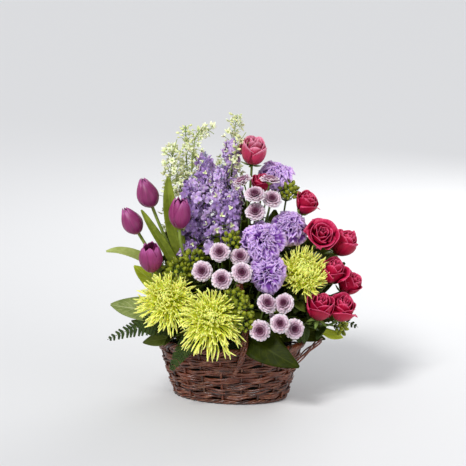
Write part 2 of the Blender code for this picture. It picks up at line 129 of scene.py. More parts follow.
def tubes(paths, radii, sides=6, tone=None, material=0, closed=False, flat=1.0, turn=0.0):
    # round sections carried along paths (piece, step), closed by a point at each end, or
    # joined end to start; flat squeezes the section and turn starts it at another angle
    paths = np.asarray(paths, float)
    p, n = paths.shape[:2]
    radii = np.broadcast_to(radii, (p, n))
    if closed:
        tangent = unit(np.roll(paths, -1, axis=1) - np.roll(paths, 1, axis=1))
        normal = unit(np.array([0.0, 0.0, 1.0]) - tangent * tangent[..., 2:3])
    else:
        tangent = unit(np.gradient(paths, axis=1))
        normal = np.empty_like(paths)
        start = np.where(np.abs(tangent[:, 0, 2:3]) < 0.8, [0.0, 0.0, 1.0], [1.0, 0.0, 0.0])
        normal[:, 0] = unit(start - tangent[:, 0] * np.sum(start * tangent[:, 0], axis=1, keepdims=True))
        for k in range(1, n):   # the section is carried on without twist
            last = normal[:, k - 1]
            normal[:, k] = unit(last - tangent[:, k] * np.sum(last * tangent[:, k], axis=1, keepdims=True))
    other = np.cross(tangent, normal)
    angle = np.linspace(0, 2 * math.pi, sides, endpoint=False) + turn
    ring = (normal[:, :, None] * np.cos(angle)[:, None] + flat * other[:, :, None] * np.sin(angle)[:, None])
    body = paths[:, :, None] + ring * radii[:, :, None, None]
    k, s = np.meshgrid(np.arange(n if closed else n - 1), np.arange(sides), indexing="ij")
    a, b = (k * sides + s).ravel(), (k * sides + (s + 1) % sides).ravel()
    c, d = ((k + 1) % n * sides + (s + 1) % sides).ravel(), ((k + 1) % n * sides + s).ravel()
    quads = np.stack([a, b, c, d], axis=1)
    points = body.reshape(p, n * sides, 3)
    along = np.broadcast_to(np.repeat(np.linspace(0, 1, n), sides), (p, n * sides))
    across = np.broadcast_to(np.tile(angle / math.pi - 1.0, n), (p, n * sides))
    tris = np.zeros((0, 3), int)
    if not closed:
        points = np.concatenate([points, paths[:, :1], paths[:, -1:]], axis=1)
        along = np.concatenate([along, np.zeros((p, 1)), np.ones((p, 1))], axis=1)
        across = np.concatenate([across, np.zeros((p, 2))], axis=1)
        s = np.arange(sides)
        t = (s + 1) % sides
        far = (n - 1) * sides
        first = np.stack([np.full(sides, n * sides), t, s], axis=1)
        last = np.stack([np.full(sides, n * sides + 1), far + s, far + t], axis=1)
        tris = np.vstack([first, last])
    size = points.shape[1]
    step = (np.arange(p) * size)[:, None, None]
    tone = rng.random(p) if tone is None else np.broadcast_to(tone, (p,))
    return {"points": points.reshape(-1, 3), "quads": (quads[None] + step).reshape(-1, 4),
            "tris": (tris[None] + step).reshape(-1, 3) if len(tris) else tris,
            "across": across.ravel(), "along": along.ravel(),
            "tone": np.repeat(tone, size), "side": np.zeros(p * size), "material": material}


def grains(centres, axes, length, width, tone=None, material=0, sides=7, n=7, point=0.0):
    # egg shapes: a tube along each axis whose radius is half a circle, pulled to a tip by point
    centres, axes = np.atleast_2d(centres), unit(np.atleast_2d(axes))
    t = 0.5 - 0.5 * np.cos(np.linspace(0.16, math.pi - 0.10, n))
    radius = np.sqrt(np.clip(t * (1 - t), 0, 1)) * (1.0 - point * t)
    length = np.broadcast_to(length, (len(centres),))
    width = np.broadcast_to(width, (len(centres),))
    paths = centres[:, None] + axes[:, None] * ((t - 0.5)[None, :, None] * length[:, None, None])
    return tubes(paths, radius[None] * width[:, None], sides, tone, material)


def makePiece(name, chunks, materials, nodes=()):
    # one object from its chunks: points, faces, marks and material numbers set as whole arrays
    counts = np.cumsum([0] + [len(c["points"]) for c in chunks])
    points = np.vstack([c["points"] for c in chunks])
    quads = np.vstack([c["quads"] + o for c, o in zip(chunks, counts)])
    tris = np.vstack([c["tris"] + o for c, o in zip(chunks, counts)])
    numbers = np.concatenate([np.full(len(c["quads"]), c["material"]) for c in chunks]
                             + [np.full(len(c["tris"]), c["material"]) for c in chunks])
    mesh = bpy.data.meshes.new(name)
    mesh.vertices.add(len(points))
    mesh.vertices.foreach_set("co", points.astype(np.float32).ravel())
    mesh.loops.add(quads.size + tris.size)
    mesh.loops.foreach_set("vertex_index", np.concatenate([quads.ravel(), tris.ravel()]).astype(np.int32))
    mesh.polygons.add(len(quads) + len(tris))
    starts = np.concatenate([np.arange(len(quads)) * 4, quads.size + np.arange(len(tris)) * 3])
    mesh.polygons.foreach_set("loop_start", starts.astype(np.int32))
    mesh.polygons.foreach_set("material_index", numbers.astype(np.int32))
    mesh.polygons.foreach_set("use_smooth", np.ones(len(quads) + len(tris), bool))
    for mark in ("along", "across", "tone", "side"):
        values = np.concatenate([c[mark] for c in chunks]).astype(np.float32)
        mesh.attributes.new(mark, "FLOAT", "POINT").data.foreach_set("value", values)
    mesh.update(calc_edges=True)
    mesh.validate()
    for material in materials:
        mesh.materials.append(material)
    piece = bpy.data.objects.new(name, mesh)
    bpy.context.scene.collection.objects.link(piece)
    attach(piece, "root")
    if nodes:
        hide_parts(*nodes)
    return piece


# the frame: where each flower and leaf of the CAD model is


def cadMesh(name):
    # a node's points, merged, and its triangles
    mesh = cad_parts[name].data
    mesh.calc_loop_triangles()
    co = np.empty(len(mesh.vertices) * 3)
    mesh.vertices.foreach_get("co", co)
    tri = np.empty(len(mesh.loop_triangles) * 3, np.int32)
    mesh.loop_triangles.foreach_get("vertices", tri)
    keys, first, back = np.unique(np.round(co.reshape(-1, 3) * 1e5), axis=0,
                                  return_index=True, return_inverse=True)
    return co.reshape(-1, 3)[first], back.ravel()[tri].reshape(-1, 3)


def ringsOf(name):
    # a stem's middle line: the points are sorted into rings by how many edges they are from
    # the end that stands deepest in the foam; gives each ring's middle, size and points
    points, tris = cadMesh(name)
    edges = np.vstack([tris[:, [0, 1]], tris[:, [1, 2]], tris[:, [2, 0]]])
    edges = np.vstack([edges, edges[:, ::-1]])
    start = points[np.argmin(np.linalg.norm(points - [0.0, 0.0, 0.07], axis=1))]
    level = np.where(np.linalg.norm(points - start, axis=1) < 0.008, 0, -1)
    step = 0
    while True:
        reach = edges[level[edges[:, 0]] == step][:, 1]
        reach = reach[level[reach] < 0]
        if not len(reach):
            break
        step += 1
        level[reach] = step
    rings = [points[level == k] for k in range(step + 1)]
    middles = np.array([r.mean(axis=0) for r in rings])
    sizes = np.array([np.linalg.norm(r - m, axis=1).max() for r, m in zip(rings, middles)])
    return middles, sizes, rings


neckRing = 7   # the ring where a stem ends and its head begins

# materials: node groups make the colours and the relief, the shader stays in the material


def newGroup(name, inputs, outputs):
    # an empty node group with these sockets, and its own input and output nodes
    group = bpy.data.node_groups.new(name, "ShaderNodeTree")
    for label, kind, value in inputs:
        socket = group.interface.new_socket(label, in_out="INPUT", socket_type="NodeSocket" + kind)
        socket.default_value = value
    for label, kind in outputs:
        group.interface.new_socket(label, in_out="OUTPUT", socket_type="NodeSocket" + kind)
    return group, group.nodes.new("NodeGroupInput"), group.nodes.new("NodeGroupOutput")


class Wiring:
    # short names for the nodes that the groups use; each call gives the new node's output
    def __init__(self, tree):
        self.tree = tree

    def put(self, socket, value):
        if isinstance(value, bpy.types.NodeSocket):
            self.tree.links.new(value, socket)
        else:
            socket.default_value = value

    def mark(self, name):
        node = self.tree.nodes.new("ShaderNodeAttribute")
        node.attribute_name = name
        return node.outputs["Fac"]

    def math(self, operation, a, b=0.0, c=0.0):
        node = self.tree.nodes.new("ShaderNodeMath")
        node.operation = operation
        for socket, value in zip(node.inputs, (a, b, c)):
            self.put(socket, value)
        return node.outputs[0]

    def span(self, value, low, high, to=(0.0, 1.0)):
        node = self.tree.nodes.new("ShaderNodeMapRange")
        node.interpolation_type = "SMOOTHSTEP"
        for label, number in (("Value", value), ("From Min", low), ("From Max", high),
                              ("To Min", to[0]), ("To Max", to[1])):
            self.put(node.inputs[label], number)
        return node.outputs["Result"]

    def mix(self, share, a, b, blend="MIX"):
        node = self.tree.nodes.new("ShaderNodeMix")
        node.data_type = "RGBA"
        node.blend_type = blend
        for socket, value in ((node.inputs[0], share), (node.inputs[6], a), (node.inputs[7], b)):
            self.put(socket, value)
        return node.outputs[2]

    def vector(self, x, y, z):
        node = self.tree.nodes.new("ShaderNodeCombineXYZ")
        for socket, value in zip(node.inputs, (x, y, z)):
            self.put(socket, value)
        return node.outputs[0]

    def place(self):
        return self.tree.nodes.new("ShaderNodeTexCoord").outputs["Object"]

    def noise(self, vector, scale, detail=2.0, roughness=0.5):
        node = self.tree.nodes.new("ShaderNodeTexNoise")
        for label, value in (("Vector", vector), ("Scale", scale), ("Detail", detail),
                             ("Roughness", roughness)):
            self.put(node.inputs[label], value)
        return node.outputs["Fac"]


def petalGroup():
    # colour from the petal's foot to its edge, with fine streaks along it and a tone of its own
    group, start, end = newGroup("petalTone", [
        ("Throat", "Color", (1, 1, 1, 1)), ("Middle", "Color", (1, 1, 1, 1)), ("Edge", "Color", (1, 1, 1, 1)),
        ("Back", "Color", (1, 1, 1, 1)), ("Streaks", "Float", 0.3), ("Fineness", "Float", 9.0),
        ("Throat End", "Float", 0.35), ("Edge Start", "Float", 0.6)],
        [("Color", "Color"), ("Height", "Float"), ("Roughness", "Float")])
    w = Wiring(group)
    get = start.outputs
    along, across, tone, side = w.mark("along"), w.mark("across"), w.mark("tone"), w.mark("side")
    lines = w.noise(w.vector(w.math("MULTIPLY", across, get["Fineness"]), w.math("MULTIPLY", along, 1.3),
                             w.math("MULTIPLY", tone, 43.0)), 1.0, 3.0, 0.6)
    wander = w.math("MULTIPLY_ADD", w.math("SUBTRACT", lines, 0.5), 0.35, along)
    colour = w.mix(w.span(wander, 0.0, get["Throat End"]), get["Throat"], get["Middle"])
    colour = w.mix(w.math("MULTIPLY", side, w.span(along, 0.0, 0.8)), colour, get["Back"])
    colour = w.mix(w.span(wander, get["Edge Start"], 1.0), colour, get["Edge"])
    bright = w.math("MULTIPLY_ADD", w.math("SUBTRACT", lines, 0.5), get["Streaks"],
                    w.math("MULTIPLY_ADD", tone, 0.30, 0.85))
    w.put(end.inputs["Color"], w.mix(1.0, colour, w.vector(bright, bright, bright), "MULTIPLY"))
    w.put(end.inputs["Height"], lines)
    w.put(end.inputs["Roughness"], w.math("MULTIPLY_ADD", lines, 0.3, 0.32))
    return group


def leafGroup():
    # a midrib along the middle, side veins slanting to the tip, and blotches of a lighter green
    group, start, end = newGroup("leafTone", [
        ("Deep", "Color", (1, 1, 1, 1)), ("Light", "Color", (1, 1, 1, 1)), ("Vein", "Color", (1, 1, 1, 1)),
        ("Under", "Color", (1, 1, 1, 1)), ("Veins", "Float", 9.0), ("Vein Share", "Float", 0.5)],
        [("Color", "Color"), ("Height", "Float"), ("Roughness", "Float")])
    w = Wiring(group)
    get = start.outputs
    along, across, tone, side = w.mark("along"), w.mark("across"), w.mark("tone"), w.mark("side")
    out = w.math("ABSOLUTE", across)
    blotch = w.noise(w.place(), 90.0, 3.0, 0.6)
    slant = w.math("SUBTRACT", along, w.math("MULTIPLY", out, 0.22))
    wave = w.math("SINE", w.math("MULTIPLY", w.math("MULTIPLY_ADD", blotch, 0.03, slant),
                                 w.math("MULTIPLY", get["Veins"], 2 * math.pi)))
    sideVein = w.math("MULTIPLY", w.span(wave, 0.86, 1.0), w.span(out, 1.0, 0.55))
    midrib = w.span(out, 0.09, 0.02)
    vein = w.math("MULTIPLY", w.math("MAXIMUM", midrib, w.math("MULTIPLY", sideVein, 0.6)), get["Vein Share"])
    light = w.math("MULTIPLY_ADD", tone, 0.6, w.span(blotch, 0.35, 0.75, (-0.1, 0.4)))
    colour = w.mix(light, get["Deep"], get["Light"])
    colour = w.mix(w.math("MULTIPLY", side, 0.75), colour, get["Under"])
    w.put(end.inputs["Color"], w.mix(vein, colour, get["Vein"]))
    w.put(end.inputs["Height"], w.math("SUBTRACT", w.math("MULTIPLY", blotch, 0.4), vein))
    w.put(end.inputs["Roughness"], w.math("MULTIPLY_ADD", blotch, 0.35, 0.34))
    return group


def rodGroup():
    # willow under dark varnish: streaks along the rod, a colour of its own, and light patches of painted highlight
    group, start, end = newGroup("rodTone", [
        ("Dark", "Color", (1, 1, 1, 1)), ("Red", "Color", (1, 1, 1, 1)), ("Painted Highlight", "Color", (1, 1, 1, 1)),
        ("Length", "Float", 40.0)], [("Color", "Color"), ("Height", "Float"), ("Roughness", "Float")])
    w = Wiring(group)
    get = start.outputs
    along, across, tone = w.mark("along"), w.mark("across"), w.mark("tone")
    streak = w.noise(w.vector(w.math("MULTIPLY", across, 3.0), w.math("MULTIPLY", along, get["Length"]),
                              w.math("MULTIPLY", tone, 61.0)), 1.0, 4.0, 0.65)
    patch = w.noise(w.place(), 60.0, 3.0, 0.6)
    colour = w.mix(w.span(w.math("MULTIPLY_ADD", tone, 0.6, w.math("MULTIPLY", patch, 0.6)), 0.2, 0.9),
                   get["Dark"], get["Red"])
    # where streak and patch noise meet, the rod takes a warm light colour: a painted highlight
    paintedHighlight = w.math("MULTIPLY", w.span(streak, 0.48, 0.74), w.span(patch, 0.38, 0.66))
    colour = w.mix(paintedHighlight, colour, get["Painted Highlight"])
    w.put(end.inputs["Color"], colour)
    w.put(end.inputs["Height"], streak)
    w.put(end.inputs["Roughness"], w.math("MULTIPLY_ADD", streak, 0.35, 0.18))
    return group


groups = {"petal": petalGroup(), "leaf": leafGroup(), "rod": rodGroup()}


def finish(name, group, values, bump=0.2, depth=0.0006, soft=0.0, sheen=0.0, coat=0.0, shine=0.5):
    # a material: one of the groups feeds colour, roughness and relief of a Principled shader
    material = bpy.data.materials.new(name)
    material.use_nodes = True
    tree = material.node_tree
    shader = tree.nodes["Principled BSDF"]
    node = tree.nodes.new("ShaderNodeGroup")
    node.node_tree = groups[group]
    for label, value in values.items():
        node.inputs[label].default_value = (*value, 1.0) if isinstance(value, tuple) else value
    relief = tree.nodes.new("ShaderNodeBump")
    relief.inputs["Strength"].default_value = bump
    relief.inputs["Distance"].default_value = depth
    tree.links.new(node.outputs["Height"], relief.inputs["Height"])
    tree.links.new(node.outputs["Color"], shader.inputs["Base Color"])
    tree.links.new(node.outputs["Roughness"], shader.inputs["Roughness"])
    tree.links.new(relief.outputs["Normal"], shader.inputs["Normal"])
    shader.inputs["Subsurface Weight"].default_value = soft
    shader.inputs["Subsurface Radius"].default_value = (1.0, 0.6, 0.5)
    shader.inputs["Subsurface Scale"].default_value = 0.0012
    shader.inputs["Specular IOR Level"].default_value = shine
    shader.inputs["Sheen Weight"].default_value = sheen
    shader.inputs["Coat Weight"].default_value = coat
    shader.inputs["Coat Roughness"].default_value = 0.25
    return material


def petalFinish(name, throat, middle, edge, back=None, streaks=0.35, fineness=9.0, throatEnd=0.35,
                edgeStart=0.6, soft=0.15, sheen=0.0, shine=0.25):
    return finish(name, "petal", {"Throat": throat, "Middle": middle, "Edge": edge, "Back": back or middle,
                                  "Streaks": streaks, "Fineness": fineness, "Throat End": throatEnd,
                                  "Edge Start": edgeStart}, soft=soft, sheen=sheen, shine=shine)


def leafFinish(name, deep, light, vein, under, veins=9.0, veinShare=0.5, soft=0.05, coat=0.0, shine=0.22):
    return finish(name, "leaf", {"Deep": deep, "Light": light, "Vein": vein, "Under": under,
                                 "Veins": veins, "Vein Share": veinShare}, bump=0.35, soft=soft, coat=coat,
                  shine=shine)


stemGreen = leafFinish("stemGreen", (0.07, 0.13, 0.02), (0.20, 0.27, 0.06), (0.2, 0.27, 0.06),
                       (0.1, 0.16, 0.03), veins=0.5, veinShare=0.1)
paleStem = leafFinish("paleStem", (0.26, 0.34, 0.09), (0.48, 0.54, 0.22), (0.4, 0.5, 0.2),
                      (0.3, 0.4, 0.1), veins=0.5, veinShare=0.1)
calyxGreen = leafFinish("calyxGreen", (0.12, 0.20, 0.03), (0.26, 0.34, 0.07), (0.3, 0.38, 0.1),
                        (0.16, 0.24, 0.05), veins=3.0, veinShare=0.2)
print("helpers and groups ready")


def fade(low, high, t):
    return low + (high - low) * t


def stemOf(name, thickness=1.0):
    # the visible stem follows the CAD stem's rings from inside the foam to the neck
    middles, sizes, rings = ringsOf(name)
    path = resample(middles[:neckRing + 1], 22)
    return tubes(path[None], np.full((1, 22), sizes[1] * thickness), 8), middles


salalLeaf = leafFinish("salalLeaf", (0.020, 0.028, 0.0006), (0.054, 0.066, 0.001), (0.09, 0.11, 0.01),
                       (0.05, 0.065, 0.004), veins=8.0, veinShare=0.35, shine=0.08)
roseLeaf = leafFinish("roseLeaf", (0.025, 0.045, 0.006), (0.070, 0.10, 0.012), (0.12, 0.16, 0.04),
                      (0.09, 0.12, 0.04), veins=7.0, veinShare=0.5)
darkLeaf = leafFinish("darkLeaf", (0.016, 0.024, 0.0005), (0.042, 0.054, 0.001), (0.07, 0.09, 0.008),
                      (0.04, 0.05, 0.004), veins=8.0, veinShare=0.3, shine=0.08)
limeLeaf = leafFinish("limeLeaf", (0.34, 0.41, 0.010), (0.52, 0.58, 0.04), (0.58, 0.64, 0.16),
                      (0.40, 0.46, 0.03), veins=7.0, veinShare=0.5)
midLeaf = leafFinish("midLeaf", (0.060, 0.085, 0.006), (0.15, 0.19, 0.020), (0.22, 0.27, 0.06),
                     (0.12, 0.16, 0.04), veins=7.0, veinShare=0.5)
tulipLeafSkin = leafFinish("tulipLeafSkin", (0.12, 0.16, 0.008), (0.30, 0.36, 0.035), (0.36, 0.42, 0.08),
                           (0.22, 0.28, 0.03), veins=1.5, veinShare=0.2)
paleLeafSkin = leafFinish("paleLeafSkin", (0.30, 0.36, 0.08), (0.52, 0.58, 0.22), (0.50, 0.56, 0.24),
                          (0.40, 0.46, 0.14), veins=1.5, veinShare=0.2)
mottledLeaf = leafFinish("mottledLeaf", (0.15, 0.20, 0.045), (0.42, 0.47, 0.17), (0.56, 0.60, 0.32),
                         (0.24, 0.30, 0.07), veins=10.0, veinShare=0.6)
fernSkin = leafFinish("fernSkin", (0.018, 0.038, 0.006), (0.055, 0.090, 0.014), (0.05, 0.09, 0.02),
                      (0.04, 0.07, 0.018), veins=3.0, veinShare=0.3)


def blades(feet, ways, ups, lengths, widths, nu=5, nv=9, droop=0.25, fold=0.18, wave=0.03, thickness=0.0006,
           tone=None, material=0):
    # leaves of one kind: an oval blade with a pointed tip, folded along its middle line,
    # waved at its edge, and bent down along its length by a parabola
    m = len(feet)
    u, v = np.meshgrid(np.linspace(-1, 1, nu), np.linspace(0, 1, nv), indexing="ij")
    ways = unit(np.asarray(ways, float))
    side = unit(np.cross(ways, ups))
    up = np.cross(side, ways)
    lengths = np.broadcast_to(lengths, (m,))[:, None, None]
    widths = np.broadcast_to(widths, (m,))[:, None, None]
    outline = np.sin(math.pi * (0.02 + 0.965 * v ** 0.85)) ** 0.85
    droop = (droop * rng.uniform(0.4, 1.6, m))[:, None, None]
    phase = rng.uniform(0, 6, m)[:, None, None]
    x = lengths * v * (1 - 0.25 * droop * v)
    y = u * widths * outline
    z = lengths * (-droop * v ** 2) + widths * (fold * np.abs(u) * outline
                                                + wave * 3 * np.sin(9 * v + 3 * u + phase) * u ** 2)
    grid = (np.asarray(feet)[:, None, None] + x[..., None] * ways[:, None, None]
            + y[..., None] * side[:, None, None] + z[..., None] * up[:, None, None])
    return shells(grid, thickness, tone, material)


# tulips: six petals, three outside and three inside, on an egg that closes towards its tip

tulip = {"length": {"tulip_1": 0.050, "tulip_2": 0.047, "tulip_3": 0.050, "tulip_4": 0.048},
         "radius": {"tulip_1": 0.0172, "tulip_2": 0.0160, "tulip_3": 0.0168, "tulip_4": 0.0178},
         "opening": {"tulip_1": 0.0, "tulip_2": 0.05, "tulip_3": 0.30, "tulip_4": 0.50},
         "spin": {"tulip_1": 2.3, "tulip_2": 1.9, "tulip_3": 2.6, "tulip_4": 1.0}}
tulipPetal = petalFinish("tulipPetal", (0.30, 0.10, 0.10), (0.245, 0.015, 0.115), (0.40, 0.070, 0.26),
                         back=(0.27, 0.022, 0.13), streaks=1.3, fineness=12.0, throatEnd=0.16,
                         edgeStart=0.72, soft=0.1, shine=0.55)
tulipGreen = leafFinish("tulipGreen", (0.24, 0.32, 0.05), (0.42, 0.50, 0.14), (0.4, 0.48, 0.14),
                        (0.3, 0.38, 0.08), veins=0.5, veinShare=0.1)


def tulipHead(neck, axis, name):
    # radius of the egg along the height is a power of a half sine; each petal spans an angle
    # that narrows to its pointed tip, and its middle line stands proud of its edges
    length, full, opening = tulip["length"][name], tulip["radius"][name], tulip["opening"][name]
    u, v = np.meshgrid(np.linspace(-1, 1, 11), np.linspace(0, 1, 18), indexing="ij")
    grids = []
    for k in range(6):
        inner = k >= 3
        egg = np.sin(math.pi * (0.07 + (0.905 - 0.26 * opening) * v ** (0.78 + 0.25 * opening))) ** 0.78
        radius = full * egg * (0.88 if inner else 1.0) + 0.0007 * (k % 3)
        radius = radius * (1.0 + 0.10 * (1 - np.abs(u)) ** 1.5 * v) - 0.0016 * np.abs(u) ** 3 * (1 - opening)
        radius = radius + 0.0022 * opening * smooth(0.75, 1.0, v) + 0.0014 * np.abs(u) ** 3 * v * (k % 2)
        half = (1.02 - 0.12 * inner) * np.clip(1 - v ** (3.2 + 1.5 * opening), 0.0, 1) ** 0.62
        half = half * (0.55 + 0.45 * smooth(0, 0.35, v)) + 0.04
        angle = k * 2 * math.pi / 3 + (math.pi / 3 if inner else 0.0) + u * half
        angle = angle + 0.12 * np.sin(2.5 * v + 2 * k)
        height = length * (0.02 + (0.98 if inner else 0.94 + 0.04 * (k % 2)) * v)
        height = height + 0.0012 * np.sin(4 * u + 2 * k) * v ** 3
        grids.append(np.stack([radius * np.cos(angle), radius * np.sin(angle), height], axis=-1))
    return shells(placed(np.array(grids), neck, axis, tulip["spin"][name]), 0.0009, material=1)


for name in ("tulip_1", "tulip_2", "tulip_3", "tulip_4"):
    stem, middles = stemOf(name, 0.95)
    axis = unit(middles[-1] - middles[neckRing])
    makePiece(name + "_bloom", [stem, tulipHead(middles[neckRing], axis, name)], [tulipGreen, tulipPetal],
              [name])
print("tulips")


# roses: petals on a spiral, wrapped tight in the middle and flaring outside

rose = {"petals": 20, "radius": 0.0222, "height": 0.0440,
        "size": {"rose_1": 1.10, "rose_2": 0.80, "rose_3": 0.94, "rose_4": 1.02, "rose_5": 1.08, "rose_7": 0.96,
                 "rose_8": 1.12, "rose_9": 1.05},
        "flare": {"rose_1": 0.25, "rose_3": 0.55, "rose_4": 0.9, "rose_5": 0.3, "rose_8": 0.45},
        "swell": {"rose_1": 0.62, "rose_2": 1.0, "rose_3": 0.9, "rose_4": 0.9},
        "upright": {"rose_1": 0.2, "rose_5": 0.3, "rose_6": 0.55, "rose_7": 0.5, "rose_8": 0.6, "rose_9": 0.6}}
rosePetal = petalFinish("rosePetal", (0.15, 0.002, 0.012), (0.43, 0.004, 0.042), (0.68, 0.075, 0.18),
                        back=(0.52, 0.011, 0.074), streaks=0.6, fineness=7.0, throatEnd=0.55,
                        edgeStart=0.86, soft=0.1, shine=0.22)

roseLight = petalFinish("roseLight", (0.30, 0.008, 0.03), (0.47, 0.020, 0.080), (0.74, 0.24, 0.36),
                        back=(0.62, 0.090, 0.20), streaks=0.6, fineness=7.0, throatEnd=0.55,
                        edgeStart=0.70, soft=0.1, sheen=0.1, shine=0.3)


def roseHead(neck, axis, size, flare, spin, swell):
    # petal k of n: foot, belly and lip radii grow with k/n and its lip rolls outwards; its
    # height falls off towards its corners, so that the tip is a blunt point
    n = rose["petals"]
    u, v = np.meshgrid(np.linspace(-1, 1, 11), np.linspace(0, 1, 12), indexing="ij")
    share = (np.arange(n) / (n - 1.0))[:, None, None]
    jitter = rng.normal(0, 1, (n, 5))[:, :, None, None]
    full, tall = rose["radius"] * size, rose["height"] * size
    foot = full * (0.05 + 0.24 * share)
    belly = full * (0.10 + 0.86 * share ** 0.9) * (1 + 0.05 * jitter[:, 0])
    lip = belly * (0.70 + (0.12 + 0.34 * flare) * share ** 1.8) * (1 + 0.07 * jitter[:, 1])
    t = v ** swell
    radius = foot * (1 - t) ** 2 + 2.35 * belly * t * (1 - t) + lip * t ** 2
    roll = smooth(0.80, 1.0, v) * share ** 1.2 * (0.05 + 0.12 * flare) * full * (1 + 0.5 * jitter[:, 4])
    radius = radius + roll * (1 + 0.8 * u ** 2)
    height = tall * (1.0 - (0.10 + 0.26 * flare) * share ** 1.6) * (1 + 0.05 * jitter[:, 2])
    z = 0.05 * tall + height * 0.95 * v ** 0.92 - 0.24 * height * np.abs(u) ** 1.7 * v ** 2.2 - roll * 0.9
    half = (1.35 - 0.35 * share) * (0.50 + 0.50 * np.sin(math.pi * (0.10 + 0.66 * v)))
    angle = np.arange(n)[:, None, None] * golden + u * half + 0.10 * jitter[:, 3]
    wave = 0.035 * full * np.sin(4 * u + 9 * share + jitter[:, 4]) * v ** 3
    grids = np.stack([(radius + wave) * np.cos(angle), (radius + wave) * np.sin(angle), z], axis=-1)
    return shells(placed(grids, neck, axis, spin), 0.0007, material=1)


def sepals(neck, axis, count, length, width, droop, spin):
    # narrow green leaves round the neck; they rise by a share of a circle set by droop
    u, v = np.meshgrid(np.linspace(-1, 1, 3), np.linspace(0, 1, 6), indexing="ij")
    angle = (np.arange(count) * 2 * math.pi / count)[:, None, None]
    side = u * width * np.sin(math.pi * (0.16 + 0.80 * v)) ** 0.8
    swing = (0.5 - droop) * math.pi * v
    out = length * v * np.cos(swing * 0.8) * 0.9 + 0.0015
    rise = length * v * np.sin(swing) * 0.8 - 0.001
    x = out * np.cos(angle) - side * np.sin(angle)
    y = out * np.sin(angle) + side * np.cos(angle)
    grids = np.stack([x, y, np.broadcast_to(rise, x.shape)], axis=-1)
    return shells(placed(grids, neck, axis, spin), 0.0007, material=2)


def cup(neck, axis, radii, heights, material=2, sides=10):
    # a turned cup or hip under a bloom: a tube with its own radius at each height
    path = np.asarray(neck) + np.asarray(heights)[:, None] * axis
    return tubes(path[None], np.asarray(radii)[None], sides, None, material)


for i in range(1, 10):
    name = f"rose_{i}"
    stem, middles = stemOf(name)
    neck, axis = middles[neckRing], unit(middles[-1] - middles[neckRing])
    size = rose["size"].get(name, 1.0)
    lean = rose["upright"].get(name, 0.0)
    axis = unit(axis * (1 - lean) + np.array([0.25, -0.35, 1.0]) * lean)
    chunks = [stem, roseHead(neck, axis, size, rose["flare"].get(name, 0.35), 1.7 * i, rose["swell"].get(name, 0.78)),
              cup(neck, axis, [0.0025, 0.0042, 0.0048, 0.003], [-0.003, 0.0, 0.003, 0.007]),
              sepals(neck, axis, 5, 0.017 * size, 0.0032, 0.15 + 0.25 * (i % 3), spin=i)]
    at = rng.uniform(0.55, 0.85, 5)
    feet = resample(middles[:neckRing + 1], 40)[(at * 39).astype(int)]
    ways = rng.normal(0, 1, (5, 3)) + [0.2, -0.3, 0.4]
    chunks.append(blades(feet, ways, np.tile([0.0, 0.0, 1.0], (5, 1)), rng.uniform(0.024, 0.034, 5), 0.0085,
                         7, 11, material=3))
    makePiece(name + "_bloom", chunks, [stemGreen, roseLight if i == 1 else rosePetal, calyxGreen, roseLeaf],
              [name])
print("roses")


# carnations: ruffled fans from the mouth of a green cup, upright inside, flat outside

carnation = {"petals": 58, "radius": 0.0325, "cup": 0.019, "ruffle": 0.0056,
             "size": {"carnation_1": 0.90, "carnation_2": 1.03, "carnation_3": 0.86, "carnation_4": 0.93},
             "shift": {"carnation_2": (-0.003, -0.004, -0.002), "carnation_3": (0.006, 0.004, 0.007)}}
# the near-black throat that darkens each petal towards its foot, deep in the head, is painted shade; the pale edge is
# partly the petals' own paler rim and partly painted highlight
carnationPetal = petalFinish("carnationPetal", (0.040, 0.004, 0.08), (0.195, 0.052, 0.355), (0.74, 0.53, 0.88),
                             back=(0.215, 0.064, 0.38), streaks=0.5, fineness=14.0, throatEnd=0.80,
                             edgeStart=0.77, soft=0.15, shine=0.12)


def carnationHead(neck, axis, size, spin):
    # each petal is a fan about its foot: distance from the foot by angle across it; it leans
    # from the axis by an angle that grows with its number, and its ruffle is a sine across
    # the fan that grows with the square of the distance
    n = carnation["petals"]
    u, v = np.meshgrid(np.linspace(-1, 1, 35), np.linspace(0, 1, 9), indexing="ij")
    share = ((np.arange(n) + 0.5) / n)[:, None, None]
    jitter = rng.normal(0, 1, (n, 6))[:, :, None, None]
    reach = carnation["radius"] * size * (0.84 + 0.18 * share) * (1 + 0.11 * jitter[:, 0])
    teeth = 1.0 - 0.022 * (np.arange(35) % 2)[:, None] * smooth(0.75, 1.0, v)
    distance = reach * (0.10 + 0.90 * v) * teeth * (1 - 0.14 * np.abs(u) ** 2.5)
    fan = u * (0.58 + 0.14 * share + 0.08 * jitter[:, 4]) * (0.50 + 0.50 * v)
    lean = 0.08 + 1.42 * share ** 0.80 + 0.26 * jitter[:, 1] * (1 - 0.5 * share)
    bow = lean * 0.80 + lean * 0.15 * v + (0.30 - 0.10 * share + 0.22 * jitter[:, 5]) * v ** 3
    amount = carnation["ruffle"] * size * v ** 1.8
    ruffle = amount * (np.sin(u * (6.8 + 1.6 * jitter[:, 2]) + 2.0 * jitter[:, 3] + 1.5 * v)
                       + 0.52 * np.sin(u * (13.0 + 2.0 * jitter[:, 0]) + 5 * jitter[:, 4] - 2.0 * v)
                       + 0.30 * np.sin(u * 25.0 + 7 * jitter[:, 3]) * v ** 2)
    side = distance * np.sin(fan) * (1.0 - 0.25 * (1 - share) * v)
    out = distance * np.cos(fan)
    radial = out * np.sin(bow) - ruffle * np.cos(bow)
    rise = out * np.cos(bow) + ruffle * np.sin(bow)
    angle = np.arange(n)[:, None, None] * golden + 0.35 * jitter[:, 5]
    grids = np.stack([radial * np.cos(angle) - side * np.sin(angle),
                      radial * np.sin(angle) + side * np.cos(angle), rise], axis=-1)
    mouth = np.asarray(neck) + axis * carnation["cup"] * size
    return shells(placed(grids, mouth, axis, spin), 0.00045, material=1)


